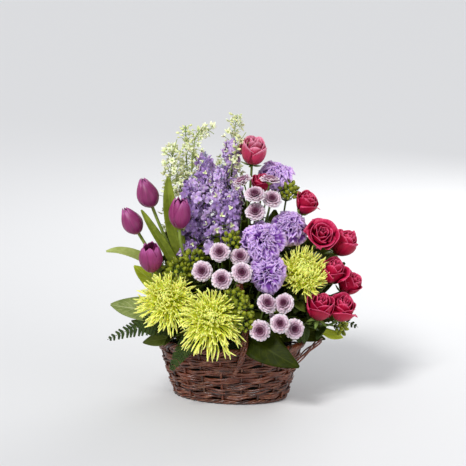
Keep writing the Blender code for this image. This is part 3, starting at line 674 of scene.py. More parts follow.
for i in range(1, 5):
    name = f"carnation_{i}"
    stem, middles = stemOf(name)
    neck, axis = middles[neckRing], unit(middles[-1] - middles[neckRing])
    size = carnation["size"][name]
    calyx = cup(neck, axis, [0.0022, 0.0050, 0.0062, 0.0068, 0.0085, 0.004],
                [-0.002, 0.001, 0.006, 0.014, 0.023 * size, 0.026 * size])
    head = carnationHead(neck + carnation["shift"].get(name, (0.0, 0.0, 0.0)), axis, size, 0.9 * i)
    makePiece(name + "_bloom", [stem, head, calyx],
              [stemGreen, carnationPetal, calyxGreen], [name])
print("carnations")


# spider chrysanthemums: thin quilled florets, short and upright inside, long outside, with
# tips that hook back

spider = {"florets": {"spider_mum_1": 560, "spider_mum_2": 580, "spider_mum_3": 540},
          "reach": {"spider_mum_1": 0.0475, "spider_mum_2": 0.052, "spider_mum_3": 0.042},
          "curl": {"spider_mum_1": 0.42, "spider_mum_2": 0.36, "spider_mum_3": 0.80},
          "droop": {"spider_mum_1": 0.16, "spider_mum_2": 0.24, "spider_mum_3": 0.02},
          "shift": {"spider_mum_1": (0.001, 0.0, 0.008), "spider_mum_2": (0.0, 0.002, 0.0)},
          "floret": 0.00124}
spiderPetal = petalFinish("spiderPetal", (0.58, 0.66, 0.005), (0.82, 0.86, 0.060), (0.92, 0.94, 0.26),
                          back=(0.74, 0.80, 0.05), streaks=0.25, fineness=2.0, throatEnd=0.45,
                          edgeStart=0.40, soft=0.35, shine=0.1)


def spiderHead(heart, axis, name, spin):
    # floret k points away from the axis by an angle that grows with a power of k/n; the path
    # leaves along it, bends up towards the axis, swings sideways as a sine and ends in a
    # hook; the long ones sag under their own weight
    n, steps = spider["florets"][name], 10
    reach, curl, droop = spider["reach"][name], spider["curl"][name], spider["droop"][name]
    share = (np.arange(n) + 0.5) / n
    lean = 1.95 * share ** 0.62 + rng.normal(0, 0.13, n)
    around = np.arange(n) * golden + rng.normal(0, 0.20, n)
    length = reach * (0.36 + 0.64 * smooth(0.0, 0.8, share)) * rng.uniform(0.66, 1.16, n)
    t = np.linspace(0, 1, steps)[None, :, None]
    frame3 = basis(axis, spin)
    out = np.cos(around)[:, None] * frame3[0] + np.sin(around)[:, None] * frame3[1]
    way = np.sin(lean)[:, None] * out + np.cos(lean)[:, None] * frame3[2]
    lift = np.cos(lean)[:, None] * -out + np.sin(lean)[:, None] * frame3[2]
    foot = np.asarray(heart) + way * 0.005
    size = length[:, None, None]
    sway = np.cross(way, lift)[:, None] * rng.normal(0, 0.10, n)[:, None, None]
    wiggle = np.cross(way, lift)[:, None] * rng.normal(0, 0.035, n)[:, None, None]
    bendUp = curl * rng.uniform(0.5, 1.35, n)[:, None, None] * (1.2 - 0.8 * share)[:, None, None]
    hook = smooth(0.72, 1.0, t) * rng.uniform(-0.02, 0.20, n)[:, None, None]
    paths = foot[:, None] + way[:, None] * size * (t - 0.30 * bendUp * t ** 3 - hook * 0.45)
    paths = paths + sway * size * t ** 2 + wiggle * size * np.sin(7 * t + around[:, None, None])
    paths = paths + lift[:, None] * size * (bendUp * (t ** 2 - 0.35 * t) + hook)
    paths[:, :, 2] -= (size[..., 0] * droop * t[..., 0] ** 2.2 * smooth(0.35, 1.0, share)[:, None])
    along = t[..., 0]
    radii = spider["floret"] * rng.uniform(0.80, 1.20, n)[:, None] \
        * (0.85 - 0.20 * np.sin(math.pi * along) + 0.35 * smooth(0.60, 0.86, along)
           - 0.75 * smooth(0.88, 1.0, along))
    return tubes(paths, radii, 5, None, 1, flat=0.8, turn=0.3)


for i in range(1, 4):
    name = f"spider_mum_{i}"
    stem, middles = stemOf(name)
    neck, axis = middles[neckRing], unit(middles[-1] - middles[neckRing])
    heart = neck + axis * 0.010 + spider["shift"].get(name, (0.0, 0.0, 0.0))
    receptacle = cup(neck, axis, [0.003, 0.008, 0.009, 0.007, 0.003], [-0.002, 0.002, 0.008, 0.015, 0.019])
    makePiece(name + "_bloom", [stem, spiderHead(heart, axis, name, 1.1 * i), receptacle],
              [stemGreen, spiderPetal, calyxGreen], [name])
print("spider chrysanthemums")


# button chrysanthemums: five rings of short ray petals (count, reach, lean) round a dark eye

button = {"radius": 0.0172,
          "rings": ((30, 1.0, 0.05), (28, 0.93, 0.24), (24, 0.80, 0.45), (18, 0.60, 0.72), (12, 0.40, 1.0)),
          "blooms": {"button_spray_top": 5, "button_spray_middle": 5, "button_spray_low": 6}}
buttonPetal = petalFinish("buttonPetal", (0.11, 0.014, 0.050), (0.42, 0.18, 0.30), (0.90, 0.78, 0.83),
                          back=(0.78, 0.60, 0.70), streaks=0.3, fineness=3.0, throatEnd=0.62,
                          edgeStart=0.50, soft=0.15, shine=0.15)
buttonHeart = petalFinish("buttonHeart", (0.05, 0.012, 0.03), (0.12, 0.018, 0.06), (0.20, 0.05, 0.12),
                          streaks=0.5, fineness=4.0)


def bloomsOf(name, count):
    # the blooms of a branched spray: the middle of the largest patch of surface within reach,
    # taken again and again; the bloom faces along the thin way of that patch
    points, tris = cadMesh(name)
    corners = points[tris]
    middles = corners.mean(axis=1)
    areas = np.linalg.norm(np.cross(corners[:, 1] - corners[:, 0], corners[:, 2] - corners[:, 0]), axis=1) / 2
    root = points[np.argmin(np.linalg.norm(points - [0.0, 0.0, 0.07], axis=1))]
    left = np.ones(len(tris), bool)
    found = []
    for k in range(count):
        near = np.linalg.norm(middles[:, None] - middles[None], axis=2) < 0.0135
        best = np.argmax((near * (areas * left)[None]).sum(axis=1) * left)
        centre = middles[best]
        for step in range(8):
            close = (np.linalg.norm(middles - centre, axis=1) < 0.0150) & left
            centre = np.average(middles[close], axis=0, weights=areas[close])
        close = np.linalg.norm(middles - centre, axis=1) < 0.0165
        spread = (middles[close] - centre) * np.sqrt(areas[close])[:, None]
        axis = np.linalg.eigh(spread.T @ spread)[1][:, 0]
        axis = axis * (1.0 if axis @ (centre - root) > 0 else -1.0)
        left &= np.linalg.norm(middles - centre, axis=1) > 0.0150
        found.append((centre, axis))
    return found, root


def buttonHead(centre, axis, size, spin):
    # ray petals: narrow spoons that leave the middle at each ring's angle and dish upwards
    chunks = []
    u, v = np.meshgrid(np.linspace(-1, 1, 3), np.linspace(0, 1, 5), indexing="ij")
    for number, (count, reach, lean) in enumerate(button["rings"]):
        angle = (np.arange(count) + 0.5 * number)[:, None, None] * 2 * math.pi / count
        angle = angle + rng.normal(0, 0.05, count)[:, None, None]
        length = button["radius"] * size * reach * rng.uniform(0.93, 1.04, count)[:, None, None]
        width = 0.0025 * size * np.sin(math.pi * (0.14 + 0.66 * v)) ** 0.6
        tilt = lean + rng.normal(0, 0.06, count)[:, None, None]
        out = 0.0022 * size + (length - 0.0022 * size) * v * np.cos(tilt)
        rise = length * (v * np.sin(tilt) + 0.12 * v ** 2 - 0.10 * u ** 2 * v * 0.5) + 0.0006 * number
        x = out * np.cos(angle) - u * width * np.sin(angle)
        y = out * np.sin(angle) + u * width * np.cos(angle)
        grids = np.stack([x, y, rise], axis=-1)
        chunk = shells(placed(grids, centre - axis * 0.002, axis, spin), 0.0005, material=1)
        chunk["along"] = chunk["along"] * reach ** 2.2
        chunks.append(chunk)
    k = np.arange(40)
    ring = 0.0046 * size * np.sqrt((k + 0.5) / 40)
    dots = np.stack([ring * np.cos(k * golden), ring * np.sin(k * golden), 0.0034 * size - ring ** 2 * 60],
                    axis=-1)
    chunks.append(grains(placed(dots, centre, axis, spin), np.broadcast_to(axis, (40, 3)), 0.0028, 0.0014,
                         material=2, sides=5, n=4))
    return chunks


for name, count in button["blooms"].items():
    blooms, root = bloomsOf(name, count)
    middle = np.mean([c for c, a in blooms], axis=0)
    back = np.mean([c - a * 0.05 for c, a in blooms], axis=0)
    fork = fade(root, back, 0.62)
    chunks = [tubes(bend([root, root + [0, 0, 0.03], fork], 14)[None], np.full((1, 14), 0.0022), 7)]
    for k, (centre, axis) in enumerate(blooms):
        foot = centre - axis * 0.006
        path = bend([fork - (back - fork) * 0.1, fade(fork, foot, 0.5), foot - axis * 0.014, foot], 12)
        chunks.append(tubes(path[None], np.full((1, 12), 0.0012), 6))
        chunks += buttonHead(centre, axis, 1.0 - 0.03 * (k % 3), 0.8 * k)
        chunks.append(cup(foot, axis, [0.0014, 0.005, 0.0062, 0.004], [-0.001, 0.0015, 0.0042, 0.006], 3))
    makePiece(name + "_blooms", chunks, [stemGreen, buttonPetal, buttonHeart, calyxGreen], [name])
print("button chrysanthemums")


# larkspur: open florets spaced round a spike by the golden angle, buds at its tip

# light: the share of each spike's florets given the lit colour; the rest take a darker copy of it, painted shade
larkspur = {"florets": 68, "size": 0.0098, "stalk": 0.0140,
            "light": {"larkspur_1": 0.10, "larkspur_2": 0.55, "larkspur_3": 0.65, "larkspur_4": 0.80,
                      "larkspur_5": 0.35}}
# the first colour is the lit larkspur blue, the second a darker copy of it: painted shade on whole florets
larkspurPetal = petalFinish("larkspurPetal", (0.74, 0.62, 0.74), (0.55, 0.365, 0.66), (0.68, 0.52, 0.80),
                            back=(0.48, 0.33, 0.63), streaks=0.5, fineness=6.0, throatEnd=0.35,
                            edgeStart=0.5, shine=0.15)
larkspurPaintedShade = petalFinish("larkspurPaintedShade", (0.34, 0.22, 0.38), (0.27, 0.155, 0.42), (0.42, 0.29, 0.58),
                           back=(0.30, 0.18, 0.42), streaks=0.7, fineness=6.0, throatEnd=0.35,
                           edgeStart=0.5, shine=0.15)
larkspurBud = petalFinish("larkspurBud", (0.30, 0.36, 0.16), (0.36, 0.34, 0.46), (0.34, 0.26, 0.58),
                          streaks=0.4, fineness=3.0)
whitePetal = petalFinish("whitePetal", (0.58, 0.66, 0.22), (0.84, 0.87, 0.54), (0.92, 0.93, 0.78),
                         streaks=0.15, fineness=4.0)
paleBud = petalFinish("paleBud", (0.50, 0.58, 0.16), (0.78, 0.83, 0.40), (0.88, 0.90, 0.60),
                      streaks=0.25, fineness=3.0)


def florets(centres, axes, sizes, petals, material, cupping=0.35, width=0.42, ruffle=0.08, nu=4, nv=5):
    # open flowers: each petal an oval that leaves its middle nearly flat and dishes upwards
    m = len(centres)
    u, v = np.meshgrid(np.linspace(-1, 1, nu), np.linspace(0, 1, nv), indexing="ij")
    angle = ((np.arange(petals) * 2 * math.pi / petals)[None, :, None, None]
             + rng.uniform(0, 6, m)[:, None, None, None] + rng.normal(0, 0.12, (m, petals))[..., None, None])
    size = (np.asarray(sizes)[:, None] * rng.uniform(0.85, 1.1, (m, petals)))[..., None, None]
    dish = cupping * rng.uniform(0.4, 1.6, (m, petals))[..., None, None]
    side = u * size * width * np.sin(math.pi * (0.10 + 0.78 * v)) ** 0.75
    out = size * (0.08 + 0.92 * v)
    rise = size * (dish * v ** 1.6 + ruffle * np.sin(3 * u + angle) * v - 0.16 * u ** 2 * v)
    x = out * np.cos(angle) - side * np.sin(angle)
    y = out * np.sin(angle) + side * np.cos(angle)
    local = np.stack([x, y, np.broadcast_to(rise, x.shape)], axis=-1)
    frames = basis(axes)
    world = np.einsum("mpuvi,mij->mpuvj", local, frames) + np.asarray(centres)[:, None, None, None]
    tone = np.repeat(rng.random(m), petals)
    return shells(world.reshape(-1, nu, nv, 3), 0.00045, tone, material)


def alongSpike(middles, counts, start=0.0, end=1.0):
    # even places along the flowering part of a spike: point, direction and share of the way
    share = np.linspace(start, end, counts)
    line = resample(middles[neckRing:], 60)
    at = share * 59
    low = np.minimum(at.astype(int), 58)
    point = line[low] + (line[low + 1] - line[low]) * (at - low)[:, None]
    return point, unit(line[low + 1] - line[low]), share, line


for i in range(1, 6):
    name = f"larkspur_{i}"
    stem, middles = stemOf(name)
    n = larkspur["florets"]
    point, way, share, line = alongSpike(middles, n, 0.0, 0.92)
    spin = np.arange(n) * golden + i
    side = unit(np.cross(way, [0.3, 1.0, 0.1]))
    other = np.cross(way, side)
    out = side * np.cos(spin)[:, None] + other * np.sin(spin)[:, None]
    stalk = larkspur["stalk"] * (1.10 - 0.60 * share ** 2.5)[:, None] * rng.uniform(0.25, 1.25, (n, 1))
    heads = point + out * stalk + way * 0.25 * stalk
    face = unit(out + way * rng.uniform(-0.1, 0.5, (n, 1)) + rng.normal(0, 0.22, (n, 3)))
    sizes = larkspur["size"] * (1.10 - 0.30 * share ** 2.5) * rng.uniform(0.75, 1.2, n)
    # each floret takes the lit colour or its painted-shade copy; the lit share grows up the spike
    light = rng.random(n) < larkspur["light"][name] + 0.35 * (share - 0.5)
    spike = tubes(line[None], np.linspace(0.0019, 0.0007, 60)[None], 6)
    stalks = tubes(np.stack([point, fade(point, heads, 0.5) - way * 0.001, heads], axis=1),
                   np.full((n, 3), 0.0005), 4)
    chunks = [stem, spike, stalks]
    for which, material in ((light, 1), (~light, 2)):
        chunks.append(florets(heads[which], face[which], sizes[which], 5, material))
    spurs = tubes(np.stack([heads, heads - face * sizes[:, None] * 0.7, heads - face * sizes[:, None] * 1.25
                            + way * 0.003], axis=1), np.array([[0.0012, 0.0009, 0.0004]]).repeat(n, 0), 5,
                  material=1)
    chunks.append(spurs)
    bright = rng.random(n) < 0.45
    chunks.append(florets((heads + face * 0.0012)[bright], face[bright], sizes[bright] * 0.40, 3, 4, cupping=1.1))
    m = 16
    budAt, budWay, budShare, line = alongSpike(middles, m, 0.84, 1.0)
    turn = np.arange(m) * golden
    budSide = unit(np.cross(budWay, [0.3, 1.0, 0.1]))
    budOut = budSide * np.cos(turn)[:, None] + np.cross(budWay, budSide) * np.sin(turn)[:, None]
    gap = np.linspace(0.0075, 0.001, m)[:, None]
    chunks.append(grains(budAt + budOut * gap, budWay + budOut * 0.8, 0.0075, 0.0040, material=3, point=0.3))
    chunks.append(tubes(np.stack([budAt, budAt + budOut * gap], axis=1), np.full((m, 2), 0.0004), 4))
    makePiece(name + "_spike", chunks, [stemGreen, larkspurPetal, larkspurPaintedShade, larkspurBud, whitePetal],
              [name])
print("larkspur")


# pale spikes: white florets and pale green buds on thin side stalks

pale = {"items": 54, "spread": 0.024,
        "extra": (((-0.030, 0.020, 0.10), (-0.095, 0.030, 0.26), (-0.112, 0.026, 0.34), (-0.086, 0.026, 0.425)),
                  ((-0.020, 0.030, 0.10), (-0.070, 0.040, 0.28), (-0.082, 0.034, 0.48), (-0.026, 0.034, 0.432)),
                  ((-0.010, 0.020, 0.10), (-0.012, 0.030, 0.25), (-0.016, 0.016, 0.38), (0.026, 0.014, 0.438)),
                  ((-0.030, 0.030, 0.10), (-0.060, 0.040, 0.24), (-0.070, 0.040, 0.33), (-0.058, 0.040, 0.415)))}


def paleSpray(line, n, spread, seedSpin, start=0.0):
    # side stalks leave the spike by the golden angle and end in an open floret or a bud
    at = np.linspace(start, 0.94, n)
    place = at * (len(line) - 1)
    low = np.minimum(place.astype(int), len(line) - 2)
    point = line[low] + (line[low + 1] - line[low]) * (place - low)[:, None]
    way = unit(line[low + 1] - line[low])
    share = (at - start) / (1.0 - start)
    spin = np.arange(n) * golden + seedSpin
    side = unit(np.cross(way, [0.2, 1.0, 0.1]))
    out = side * np.cos(spin)[:, None] + np.cross(way, side) * np.sin(spin)[:, None]
    reach = spread * (1.05 - 0.72 * share) * rng.uniform(0.35, 1.25, n)
    ends = point + out * reach[:, None] + way * (reach * rng.uniform(0.1, 0.9, n))[:, None]
    elbow = fade(point, ends, 0.5) + way * (0.2 * reach)[:, None]
    opened = rng.random(n) < 0.62 - 0.45 * share
    face = unit(ends - point + rng.normal(0, 0.4, (n, 3)) * reach[:, None])
    count = (~opened).sum()
    return [tubes(np.stack([point, elbow, ends], axis=1), np.full((n, 3), 0.00045), 4),
            florets(ends[opened], face[opened], rng.uniform(0.0045, 0.0072, opened.sum()), 5, 1, cupping=0.7,
                    width=0.40),
            grains(ends[~opened], face[~opened], rng.uniform(0.005, 0.0105, count),
                   rng.uniform(0.0028, 0.0050, count), material=2, point=0.35),
            grains(ends[opened] + face[opened] * 0.0012, face[opened], 0.0034, 0.0026, material=0, sides=5, n=5)]


for i in range(1, 4):
    name = f"pale_spike_{i}"
    stem, middles = stemOf(name)
    line = resample(middles[neckRing:], 60)
    chunks = [stem, tubes(line[None], np.linspace(0.0016, 0.0006, 60)[None], 6)]
    chunks += paleSpray(line, pale["items"], pale["spread"], 2 * i)
    makePiece(name + "_spray", chunks, [paleStem, whitePetal, paleBud], [name])
chunks = []
for number, controls in enumerate(pale["extra"]):
    line = bend(controls, 90)
    chunks.append(tubes(line[None], np.linspace(0.0017, 0.0006, 90)[None], 6))
    chunks += paleSpray(line, 50, pale["spread"] * 0.95, number, 0.42)
makePiece("pale_cloud", chunks, [paleStem, whitePetal, paleBud], ())
print("pale spikes")


# berries: a cluster of green-yellow egg shapes, each in a collar of five small sepals

berries = {"count": 26, "length": 0.0098, "width": 0.0080}
berrySkin = leafFinish("berrySkin", (0.15, 0.18, 0.004), (0.37, 0.41, 0.016), (0.38, 0.42, 0.05),
                       (0.2, 0.25, 0.02), veins=0.5, veinShare=0.05, soft=0.25, coat=0.35)


def berryCluster(centre, axis, spread, count, spin):
    # berries on the upper side of an egg about the centre, on stalks from its foot
    k = np.arange(count)
    lean = 1.75 * np.sqrt((k + 0.5) / count)
    around = k * golden + spin
    frame3 = basis(axis, 0.0)
    out = (np.sin(lean) * np.cos(around))[:, None] * frame3[0] \
        + (np.sin(lean) * np.sin(around))[:, None] * frame3[1] + np.cos(lean)[:, None] * frame3[2]
    at = centre + out * spread * rng.uniform(0.78, 1.12, (count, 1))
    way = unit(out + rng.normal(0, 0.25, (count, 3)) + axis * 0.3)
    foot = centre - axis * spread * 0.9
    size = rng.uniform(0.80, 1.12, count)
    paths = np.stack([np.broadcast_to(foot, at.shape), fade(foot, at, 0.5) + out * 0.002,
                      at - way * berries["length"] * 0.45], axis=1)
    collar = at - way * (berries["length"] * 0.46 * size)[:, None]
    ring = np.arange(5) * 2 * math.pi / 5
    local = basis(way)
    spokes = (np.cos(ring)[None, :, None] * local[:, None, 0] + np.sin(ring)[None, :, None] * local[:, None, 1])
    feet = np.repeat(collar, 5, axis=0)
    dirs = (spokes + way[:, None] * 0.75).reshape(-1, 3)
    ups = np.repeat(way, 5, axis=0) - spokes.reshape(-1, 3)
    return [grains(at, way, berries["length"] * size, berries["width"] * size, material=1, sides=8, n=7,
                   point=0.25),
            tubes(paths, np.full((count, 3), 0.0006), 4),
            blades(feet, dirs, ups, 0.0052, 0.0016, 3, 4, droop=0.1, thickness=0.0004, material=2)]


berryWide = {"hypericum_1": 0.021, "hypericum_2": 0.018, "hypericum_3": 0.015, "hypericum_4": 0.021,
             "hypericum_5": 0.018, "hypericum_6": 0.012}
for i in range(1, 7):
    name = f"hypericum_{i}"
    stem, middles = stemOf(name)
    neck, axis = middles[neckRing], unit(middles[-1] - middles[neckRing])
    wide = berryWide[name]
    centre = neck + axis * wide * 0.85
    count = int(berries["count"] * (wide / 0.018) ** 1.6 * (1.45 if i == 5 else 1.0))
    chunks = [stem] + berryCluster(centre, axis, wide, count, i)
    if i == 4:
        for away in ((0.010, -0.004, -0.022), (-0.006, 0.002, 0.014), (-0.016, -0.004, -0.014)):
            chunks += berryCluster(centre + np.array(away), axis, wide * 0.8, 24, 2 * i)
    makePiece(name + "_berries", chunks, [stemGreen, berrySkin, calyxGreen], [name])
print("berries")


# broad leaves, tulip leaves and ferns

def leafOf(name, outline, fold, widen, across=11, along=30, wave=0.05, thickness=0.0007):
    # a leaf on its CAD midrib: the blade's own outline is set across the middle line, in the
    # direction the CAD blade has, with a fold at the midrib and a slow wave at its edge
    middles, sizes, rings = ringsOf(name)
    begin = int(np.argmax(sizes > 0.003)) - 1
    line = resample(middles[begin:], along)
    wide = sizes[begin:].max() * widen
    at = int(np.argmax(sizes))
    spread = rings[at] - middles[at]
    side = np.linalg.svd(spread)[2][0]
    tangent = unit(np.gradient(line, axis=0))
    side = unit(side - tangent * (tangent @ side)[:, None])
    up = np.cross(side, tangent)
    up = up * np.sign(up[len(up) // 2] @ np.array([0.0, -1.0, 1.2]) or 1.0)
    u, v = np.meshgrid(np.linspace(-1, 1, across), np.linspace(0, 1, along), indexing="ij")
    half = wide * np.sin(math.pi * (0.02 + 0.965 * v ** 0.82)) ** outline
    lift = half * fold * np.abs(u) + wide * wave * np.sin(11 * v + 4 * u) * u ** 2
    grid = line[None] + side[None] * (u * half)[..., None] + up[None] * lift[..., None]
    stalk = resample(middles[:begin + 2], 12)
    taper = np.linspace(0.0016, 0.0009, 12)
    turned = grid if np.cross(grid[-1, 5] - grid[0, 5], line[6] - line[4]) @ up[5] > 0 else grid[::-1]
    rib = line - up * 0.0004
    return [tubes(stalk[None], taper[None], 7), shells(turned[None], thickness, material=1),
            tubes(rib[None], np.linspace(0.0010, 0.0003, along)[None], 6)]


leafSkins = {"tulip_leaf_1": (tulipLeafSkin, 1.42), "tulip_leaf_2": (tulipLeafSkin, 1.15),
             "tulip_leaf_3": (paleLeafSkin, 1.15), "salal_leaf_1": (darkLeaf, 1.15),
             "salal_leaf_2": (limeLeaf, 1.25), "salal_leaf_3": (mottledLeaf, 2.1)}
for name in [f"tulip_leaf_{i}" for i in (1, 2, 3)] + [f"salal_leaf_{i}" for i in range(1, 7)]:
    slim = name.startswith("tulip")
    skin, widen = leafSkins.get(name, (salalLeaf, 1.12))
    chunks = leafOf(name, 0.6 if slim else 0.85, 0.35 if slim else 0.14, widen)
    makePiece(name + "_blade", chunks, [stemGreen, skin], [name])
print("broad leaves")


fern = {"pairs": 17, "lobes": 9, "widen": 1.25}


def fernFrond(line, up, halfWidth):
    # a frond: pairs of side branches that shorten to the tip, each with pairs of small lobes
    # that shorten to its own tip
    pairs, lobes = fern["pairs"], fern["lobes"]
    line = resample(line, 60)
    tangent = unit(np.gradient(line, axis=0))
    side = unit(np.cross(tangent, up))
    share = (np.arange(pairs) + 0.6) / pairs
    at = (share * 58).astype(int)
    reach = halfWidth * (1.0 - share) ** 0.75 * 1.15 + 0.002
    chunks = [tubes(line[None], np.linspace(0.0011, 0.0004, 60)[None], 6)]
    feet, ways, lengths = [], [], []
    for sign in (-1.0, 1.0):
        way = unit(side[at] * sign + tangent[at] * 0.55)
        tips = line[at] + way * reach[:, None] - np.array([0, 0, 1.0]) * (reach * 0.10)[:, None]
        t = np.linspace(0, 1, 6)[None, :, None]
        branch = line[at][:, None] * (1 - t) + tips[:, None] * t
        chunks.append(tubes(branch, np.full((pairs, 6), 0.0004), 4))
        cross = unit(np.cross(way, up))
        s = (np.arange(lobes) + 0.5) / lobes
        for turn in (-1.0, 1.0):
            foot = line[at][:, None] + (tips - line[at])[:, None] * s[None, :, None]
            lobe = unit(cross[:, None] * turn + way[:, None] * 0.8)
            feet.append(foot.reshape(-1, 3))
            ways.append(np.broadcast_to(lobe, foot.shape).reshape(-1, 3))
            lengths.append((reach[:, None] * 0.18 * (1.10 - s)[None] + 0.0016).ravel())
    feet, ways, lengths = np.vstack(feet), np.vstack(ways), np.concatenate(lengths)
    chunks.append(blades(feet, ways, np.broadcast_to(up, feet.shape), lengths, lengths * 0.36 + 0.0002, 3, 4,
                         droop=0.15, thickness=0.0004))
    return chunks


for i in range(1, 7):
    name = f"fern_{i}"
    middles, sizes, rings = ringsOf(name)
    begin = int(np.argmax(sizes > 0.003)) - 1
    at = int(np.argmax(sizes))
    side = np.linalg.svd(rings[at] - middles[at])[2][0]
    up = np.cross(side, unit(middles[at + 1] - middles[at - 1]))
    up = up * (np.sign(up @ np.array([0.0, -0.3, 1.0])) or 1.0)
    if i <= 3:
        up = unit(up + np.array([0.0, -1.6, 0.3]))   # turned to the front
    stalk = resample(middles[:begin + 1], 12)
    chunks = [tubes(stalk[None], np.full((1, 12), 0.0011), 6)]
    chunks += fernFrond(middles[begin:], up, sizes.max() * fern["widen"])
    makePiece(name + "_frond", chunks, [fernSkin], [name])
print("ferns")


# small leafy sprigs that fill the spaces between the stems

sprig = {"leaves": 11, "leafLength": 0.034, "leafWidth": 0.0105, "droop": 0.3, "foamTop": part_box("floral_foam")[1].z}


def sprigChunks(foot, tip, material):
    # a curved twig with leaves set round it by the golden angle over its outer two thirds
    leaves, length, width = sprig["leaves"], sprig["leafLength"], sprig["leafWidth"]
    foot, tip = np.asarray(foot, float), np.asarray(tip, float)
    line = bend([foot, foot + [0, 0, 0.35 * np.linalg.norm(tip - foot)], tip], 30)
    share = np.linspace(0.30, 0.99, leaves)
    at = (share * 29).astype(int)
    tangent = unit(np.gradient(line, axis=0))[at]
    side = unit(np.cross(tangent, [0.2, 1.0, 0.3]))
    spin = np.arange(leaves) * golden + rng.uniform(0, 6)
    out = side * np.cos(spin)[:, None] + np.cross(tangent, side) * np.sin(spin)[:, None]
    way = unit(out + tangent * rng.uniform(0.35, 0.9, (leaves, 1)))
    size = length * rng.uniform(0.75, 1.15, leaves) * (1.0 - 0.35 * smooth(0.7, 1.0, share))
    twig = tubes(line[None], np.linspace(0.0015, 0.0006, 30)[None], 6)
    leafUp = unit(np.array([0.0, 0.0, 1.0]) + 0.5 * tangent + rng.normal(0, 0.25, (leaves, 3)))
    return [twig, blades(line[at], way, leafUp, size, size * width / length, 5, 6, sprig["droop"],
                         material=material)]


foamMiddle = np.array([0.0, 0.0, sprig["foamTop"] - 0.005])
fillers = []
rows = ((-0.034, 0.66, 15), (-0.012, 0.78, 16), (0.020, 0.84, 15), (0.055, 0.78, 14), (0.085, 0.62, 13))
for row, (depth, reach, count) in enumerate(rows):
    for k in range(count):
        fan = math.radians(-92 + 184 * (k + 0.5) / count) + rng.normal(0, 0.04)
        stretch = reach * rng.uniform(0.78, 1.06) * (0.80 if fan < -1.0 else 1.0)
        tip = np.array([0.178 * math.sin(fan) * stretch * (1.12 if row < 3 else 1.0),
                        depth * (1.4 - abs(math.sin(fan)) * 0.4),
                        sprig["foamTop"] + 0.010 + 0.215 * math.cos(fan) * stretch])
        foot = foamMiddle + [0.055 * math.sin(fan) * 0.9, 0.35 * depth, -0.008]
        fillers.append((row, foot, tip))
for row in range(len(rows)):
    chunks = []
    for number, (which, foot, tip) in enumerate(fillers):
        if which == row:
            skin = 3 if number % 3 == 1 else 2 if number % 7 == 3 and tip[0] < 0.05 else 1
            chunks += sprigChunks(foot, tip, skin)
    makePiece(f"filler_sprigs_{row + 1}", chunks, [stemGreen, salalLeaf, limeLeaf, midLeaf], ())

# leaves that lie out over the rim all round and hide the foam and the liner
collar = {"count": 84, "length": 0.050, "width": 0.0125, "oval": (0.088, 0.053), "bare": (-1.75, -0.55)}
k = np.arange(collar["count"])
around = k * 2 * math.pi / collar["count"] + rng.normal(0, 0.05, len(k))
out = np.stack([np.cos(around), np.sin(around), 0 * around], axis=1)
inner = rng.uniform(0.55, 0.92, len(k))
feet = np.stack([collar["oval"][0] * inner * np.cos(around), collar["oval"][1] * inner * np.sin(around),
                 0.112 + 0.012 * rng.random(len(k))], axis=1)
rise = rng.uniform(0.10, 0.75, len(k))
front = (np.mod(around + math.pi, 2 * math.pi) - math.pi > collar["bare"][0]) \
    & (np.mod(around + math.pi, 2 * math.pi) - math.pi < collar["bare"][1])
ways = out + np.array([0.0, 0.0, 1.0]) * (rise + 0.5 * front)[:, None]
lengths = collar["length"] * rng.uniform(0.75, 1.15, len(k)) * np.where(front, 0.7, 1.0)
chunks = [blades(feet[k % 3 == m], ways[k % 3 == m], np.tile([0.0, 0.0, 1.0], ((k % 3 == m).sum(), 1)) + 0.2,
                 lengths[k % 3 == m], collar["width"], 7, 12, droop=0.45, material=(1, 1, 2)[m]) for m in range(3)]
k = np.arange(150)
spot = np.sqrt((k + 0.5) / 150)
feet = np.stack([0.086 * spot * np.cos(k * golden), 0.052 * spot * np.sin(k * golden), 0.1185 + 0 * spot], axis=1)
ways = np.stack([np.cos(k * golden), np.sin(k * golden), rng.uniform(0.5, 2.0, 150)], axis=1)
chunks.append(blades(feet, ways, rng.normal(0, 1, (150, 3)) + [0, 0, 1.0], rng.uniform(0.014, 0.024, 150), 0.005,
                     5, 7, material=2))
makePiece("collar_leaves", chunks, [stemGreen, salalLeaf, midLeaf], ())

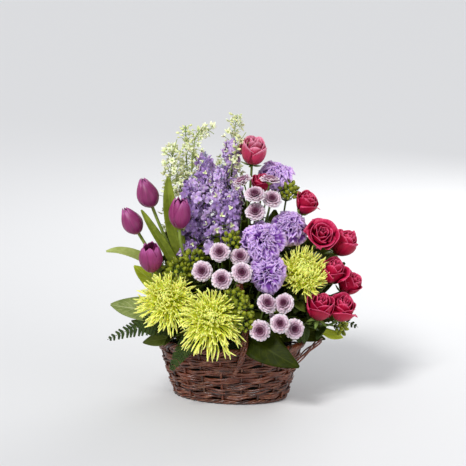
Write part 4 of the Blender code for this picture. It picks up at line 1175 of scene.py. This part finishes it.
# single large leaves between the flowers: foot, tip, half width and skin
single = (
    ((-0.101, -0.030, 0.110), (-0.161, -0.030, 0.130), 0.012, 2),
    ((-0.094, -0.036, 0.108), (-0.140, -0.038, 0.096), 0.011, 2),
    ((-0.100, -0.025, 0.125), (-0.172, -0.022, 0.146), 0.012, 2),
    ((-0.074, 0.015, 0.166), (-0.108, 0.016, 0.268), 0.017, 2),
    ((-0.082, 0.000, 0.160), (-0.129, 0.004, 0.226), 0.014, 4),
    ((-0.082, -0.006, 0.170), (-0.078, -0.004, 0.250), 0.011, 3),
    ((0.094, -0.025, 0.116), (0.155, -0.026, 0.098), 0.012, 1),
    ((0.094, -0.030, 0.128), (0.148, -0.030, 0.119), 0.012, 1),
    ((0.104, 0.010, 0.150), (0.183, 0.012, 0.242), 0.014, 2),
    ((0.085, 0.010, 0.150), (0.142, 0.008, 0.231), 0.018, 1),
    ((0.088, 0.020, 0.126), (0.176, 0.020, 0.156), 0.017, 1),
    ((0.075, 0.020, 0.150), (0.121, 0.020, 0.250), 0.019, 1),
    ((0.090, 0.024, 0.130), (0.190, 0.026, 0.118), 0.014, 1),
    ((0.022, 0.024, 0.150), (0.021, 0.022, 0.335), 0.018, 1),
    ((0.030, 0.030, 0.150), (0.053, 0.028, 0.304), 0.018, 1),
    ((0.003, 0.020, 0.140), (-0.003, 0.012, 0.262), 0.014, 1),
    ((0.090, 0.030, 0.150), (0.105, 0.030, 0.288), 0.018, 2),
    ((0.098, 0.030, 0.155), (0.148, 0.030, 0.264), 0.017, 1),
    ((0.010, 0.016, 0.150), (0.030, 0.000, 0.322), 0.016, 1),
    ((0.006, 0.016, 0.150), (0.014, 0.002, 0.290), 0.015, 2),
    ((0.048, -0.034, 0.114), (0.078, -0.072, 0.106), 0.015, 1),
    ((0.066, -0.028, 0.116), (0.105, -0.052, 0.108), 0.015, 1),
    ((-0.006, -0.036, 0.114), (-0.014, -0.080, 0.104), 0.014, 1),
    ((0.012, -0.036, 0.114), (0.022, -0.082, 0.106), 0.014, 1),
    ((0.100, 0.016, 0.165), (0.174, 0.016, 0.252), 0.020, 1),
    ((0.110, 0.022, 0.150), (0.192, 0.022, 0.214), 0.018, 1),
    ((0.095, -0.015, 0.118), (0.172, -0.012, 0.104), 0.010, 4),
    ((0.150, -0.016, 0.112), (0.186, -0.012, 0.098), 0.008, 4),)
chunks = []
for foot, tip, wide, skin in single:
    foot, tip = np.array(foot), np.array(tip)
    length = np.linalg.norm(tip - foot)
    chunks.append(blades(foot[None], (tip - foot)[None] + [[0, 0, 0.10 * length]], np.array([[0.1, -1.0, 0.55]]),
                         length * 1.04, wide, 9, 18, droop=0.10, fold=0.16, thickness=0.0007, material=skin))
    root = np.array([foot[0] * 0.55, foot[1] * 0.4 + 0.005, 0.108])
    chunks.append(tubes(bend([root, fade(root, foot, 0.5) + [0, 0, 0.01], foot, fade(foot, tip, 0.25)], 14)[None],
                        np.linspace(0.0015, 0.0008, 14)[None], 6))
makePiece("single_leaves", chunks, [stemGreen, salalLeaf, midLeaf, tulipLeafSkin, limeLeaf], ())
print("filler leaves")


# the basket

basket = {"stakes": 19, "bundles": 8, "rodsInBundle": 4, "rod": 0.00170, "swing": 0.0028, "turn": math.radians(-12),
          "foot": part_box("basket_foot"), "wall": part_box("basket_wall"), "rim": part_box("basket_rim")}
# the third colour of the willow is a painted highlight on the rods
willow = finish("willow", "rod", {"Dark": (0.028, 0.006, 0.0025), "Red": (0.160, 0.035, 0.012),
                                  "Painted Highlight": (0.50, 0.24, 0.125), "Length": 60.0},
                bump=0.5, depth=0.0006, coat=0.35, shine=0.5)


def ovalOf(name, z=None):
    # half lengths of a node's oval in the basket's given turn, from its points near a height
    points, tris = cadMesh(name)
    points = points[np.abs(points[:, 2] - z) < 0.002] if z is not None else points
    c, s = math.cos(basket["turn"]), math.sin(basket["turn"])
    flat = np.stack([points[:, 0] * c + points[:, 1] * s, points[:, 1] * c - points[:, 0] * s], axis=1)
    return np.abs(flat).max(axis=0)


wallLow, wallHigh = basket["wall"][0].z, basket["wall"][1].z
ovalLow, ovalHigh = ovalOf("basket_wall", wallLow), ovalOf("basket_wall", wallHigh)
rimLow, rimHigh = basket["rim"][0].z, basket["rim"][1].z


def ovalLine(angle, z, inset):
    # a point of the wall's oval at an angle and a height, moved inwards by inset
    share = (np.asarray(z) - wallLow) / (wallHigh - wallLow)
    a = fade(ovalLow[0], ovalHigh[0], share) - inset
    b = fade(ovalLow[1], ovalHigh[1], share) - inset
    x, y = a * np.cos(angle), b * np.sin(angle)
    c, s = math.cos(basket["turn"]), math.sin(basket["turn"])
    return np.stack(np.broadcast_arrays(x * c - y * s, x * s + y * c, z), axis=-1)


def weave():
    # weavers go round the oval, in front of one stake and behind the next: their distance
    # from the wall's middle is a cosine with half as many waves as there are stakes, and each
    # bundle starts half a wave after the one below; a sine a quarter wave later slants them
    angle = np.linspace(0, 2 * math.pi, 340, endpoint=False)
    rods, radii = [], []
    height = (wallHigh - wallLow) / basket["bundles"]
    for row in range(basket["bundles"]):
        phase = row * math.pi + rng.normal(0, 0.15)
        slant = rng.uniform(0, 6)
        for rod in range(basket["rodsInBundle"]):
            around = angle * (basket["stakes"] + 1) / 2 + 0.20 * np.sin(5 * angle + slant)
            out = np.cos(around + phase)
            swing = basket["swing"] * out * rng.uniform(0.85, 1.15)
            lift = (rod - 1.5) * height * (0.235 + 0.050 * out)   # pinched behind the stakes
            bob = 0.0017 * np.sin(around + phase) * (0.6 + 0.5 * np.sin(2 * angle + slant)) \
                + 0.0014 * np.sin(3 * angle + slant) + 0.0008 * np.sin(9 * angle + 3 * rod + slant) \
                + 0.0006 * np.sin(23 * angle + rng.uniform(0, 6))
            z = np.clip(wallLow + height * (row + 0.5) + lift + bob, wallLow + 0.001, wallHigh)
            rods.append(ovalLine(angle, z, 0.0033 - swing))
            radii.append(basket["rod"] * (1 + 0.12 * np.sin(2 * angle + rng.uniform(0, 6)) + rng.normal(0, 0.05)))
    return tubes(np.array(rods), np.array(radii), 7, closed=True)


def stakes():
    # upright rods inside the wall's thickness, from the foot to the rim
    count = basket["stakes"] + 1
    angle = (np.arange(count) * 2 * math.pi / count)[:, None]
    z = np.linspace(wallLow - 0.004, rimHigh - 0.004, 14)[None]
    return tubes(ovalLine(angle, z, 0.0033), np.full((count, 14), 0.0021), 6)


def twistedBorder(line, strands, spread, rod, turns, lift=0.6):
    # strands wound round a closed line: each is moved from it by a turning vector
    steps = len(line)
    s = np.linspace(0, 2 * math.pi, steps, endpoint=False)
    out = unit(line * [1.0, 1.0, 0.0])
    paths = []
    for k in range(strands):
        wind = s * turns + k * 2 * math.pi / strands
        paths.append(line + out * (spread * np.cos(wind))[:, None]
                     + np.array([0, 0, 1.0]) * (spread * lift * np.sin(wind))[:, None])
    return tubes(np.array(paths), rod, 7, closed=True)


angle = np.linspace(0, 2 * math.pi, 420, endpoint=False)
makePiece("woven_wall", [weave(), stakes()], [willow], ["basket_wall"])
rimLine = ovalLine(angle, np.full(420, (rimLow + rimHigh) / 2), 0.0033)
makePiece("rim_border", [twistedBorder(rimLine, 5, 0.0040, 0.0023, 17, 0.95)], [willow], ["basket_rim"])
footBox = basket["foot"]
footLine = ovalLine(angle, np.full(420, (footBox[0].z + footBox[1].z) / 2), 0.0040)
makePiece("foot_border", [twistedBorder(footLine, 3, 0.0022, 0.0019, 13, 0.9)], [willow], ["basket_foot"])


def wovenBase():
    # the base: ovals of rod over a fan of flat ribs
    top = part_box("basket_base")[1].z
    half = ovalOf("basket_base")
    angle = np.linspace(0, 2 * math.pi, 144, endpoint=False)
    rings = np.linspace(0.12, 0.97, 15)[:, None]
    wobble = 0.0007 * np.cos(angle * 12)[None] * np.where(np.arange(15) % 2, 1.0, -1.0)[:, None]
    x, y = half[0] * rings * np.cos(angle), half[1] * rings * np.sin(angle)
    c, s = math.cos(basket["turn"]), math.sin(basket["turn"])
    z = top / 2 + wobble
    rods = tubes(np.stack([x * c - y * s, x * s + y * c, z], axis=-1), 0.0020, 6, closed=True)
    way = (np.arange(12) * math.pi / 12)[:, None] + 0.1
    t = np.linspace(-0.99, 0.99, 12)[None]
    x, y = half[0] * t * np.cos(way), half[1] * t * np.sin(way)
    ribs = tubes(np.stack([x * c - y * s, x * s + y * c, np.full_like(x, top / 2)], axis=-1), 0.0014, 6)
    return [rods, ribs]


makePiece("woven_base", wovenBase(), [willow], ["basket_base"])


def wrapped(line, strands, spread, rod, turns, wraps, wrapRod, tone=None):
    # rods wound loosely round a line, bound by one thinner rod wound closely round them
    n = len(line)
    frames = unit(np.gradient(line, axis=0))
    side = unit(np.cross(frames, [1.0, 0.2, 0.1]))
    other = np.cross(frames, side)
    s = np.linspace(0, 1, n)
    paths = []
    for k in range(strands):
        wind = s * turns * 2 * math.pi + k * 2 * math.pi / strands
        paths.append(line + side * (spread * np.cos(wind))[:, None] + other * (spread * np.sin(wind))[:, None])
    chunks = [tubes(np.array(paths), np.full((strands, n), rod), 7, tone)]
    if wraps:
        wind = s * wraps * 2 * math.pi
        size = spread[:, None] + rod * 0.9
        chunks.append(tubes((line + side * np.cos(wind)[:, None] * size + other * np.sin(wind)[:, None] * size)[None],
                            np.full((1, n), wrapRod), 5, tone))
    return chunks


line = resample(ringsOf("basket_handle")[0], 500)
narrow = smooth(0.0, 0.12, np.linspace(0, 1, 500)) * smooth(1.0, 0.88, np.linspace(0, 1, 500))
makePiece("wrapped_handle", wrapped(line, 5, 0.0012 + 0.0026 * narrow, 0.0021, 5, 62, 0.0011, 0.62),
          [willow], ["basket_handle"])
line = resample(ringsOf("basket_side_loop")[0], 90)
makePiece("side_loop", wrapped(line, 2, np.full(90, 0.0019), 0.0013, 2.0, 0, 0), [willow], ["basket_side_loop"])
print("basket")


# liner and foam keep their CAD shapes and get their own finishes

def plainFinish(name, low, high, rough, scale, bump, depth):
    # two tones of one colour from a noise on the object's own coordinates, with relief
    material = bpy.data.materials.new(name)
    material.use_nodes = True
    w = Wiring(material.node_tree)
    shader = material.node_tree.nodes["Principled BSDF"]
    grain = w.noise(w.place(), scale, 4.0, 0.6)
    w.put(shader.inputs["Base Color"], w.mix(grain, (*low, 1.0), (*high, 1.0)))
    w.put(shader.inputs["Roughness"], w.math("MULTIPLY_ADD", grain, 0.15, rough))
    relief = material.node_tree.nodes.new("ShaderNodeBump")
    relief.inputs["Strength"].default_value = bump
    relief.inputs["Distance"].default_value = depth
    w.put(relief.inputs["Height"], grain)
    w.put(shader.inputs["Normal"], relief.outputs["Normal"])
    return material


linerPlastic = plainFinish("linerPlastic", (0.006, 0.009, 0.006), (0.012, 0.016, 0.010), 0.35, 30.0, 0.1, 0.0003)
wetFoam = plainFinish("wetFoam", (0.014, 0.036, 0.008), (0.035, 0.080, 0.020), 0.8, 900.0, 0.8, 0.0008)
for node, material in (("liner", linerPlastic), ("floral_foam", wetFoam)):
    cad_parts[node].data.materials.clear()
    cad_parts[node].data.materials.append(material)
print("liner and foam")


# floor, light and camera

view = {"camera": (0.00499, -2.67862, 0.85839), "down": math.radians(77.7), "lens": 129.9}
floorMesh = bpy.data.meshes.new("floor")
floorMesh.from_pydata([(-16, -16, 0), (16, -16, 0), (16, 16, 0), (-16, 16, 0)], [], [(0, 1, 2, 3)])
floor = bpy.data.objects.new("floor", floorMesh)
bpy.context.scene.collection.objects.link(floor)
paper = bpy.data.materials.new("paleFloor")
paper.use_nodes = True
paper.node_tree.nodes["Principled BSDF"].inputs["Base Color"].default_value = (0.74, 0.74, 0.74, 1.0)
paper.node_tree.nodes["Principled BSDF"].inputs["Roughness"].default_value = 0.7
floorMesh.materials.append(paper)

world = bpy.data.worlds.new("studio")
world.use_nodes = True
world.node_tree.nodes["Background"].inputs["Color"].default_value = (0.93, 0.95, 1.0, 1.0)
world.node_tree.nodes["Background"].inputs["Strength"].default_value = 0.50
bpy.context.scene.world = world


def softBox(name, place, target, size, power):
    # a square lamp whose back axis points from the target to its place
    light = bpy.data.lights.new(name, "AREA")
    light.size = size
    light.energy = power
    lamp = bpy.data.objects.new(name, light)
    bpy.context.scene.collection.objects.link(lamp)
    way = unit(np.array(target) - np.array(place))
    lamp.location = place
    lamp.rotation_euler = (math.acos(-way[2]), 0.0, math.atan2(way[1], way[0]) - math.pi / 2)


sunLamp = bpy.data.lights.new("keyLight", "SUN")
sunLamp.energy = 2.3
sunLamp.angle = math.radians(16)
sun = bpy.data.objects.new("keyLight", sunLamp)
sun.rotation_euler = (math.radians(44), 0.0, math.radians(-34))
bpy.context.scene.collection.objects.link(sun)
softBox("fillLight", (1.8, -1.6, 0.9), (0.0, 0.0, 0.2), 1.2, 8.0)
softBox("windowLight", (0.9, 1.5, 1.2), (0.0, 0.0, 0.25), 1.2, 14.0)

camera = bpy.data.objects.new("camera", bpy.data.cameras.new("camera"))
camera.data.lens = view["lens"]
camera.data.clip_end = 50.0
camera.location = view["camera"]
camera.rotation_euler = (view["down"], 0.0, 0.0)
bpy.context.scene.collection.objects.link(camera)
bpy.context.scene.camera = camera
bpy.context.scene.view_settings.view_transform = "Standard"
print("floor, light and camera")
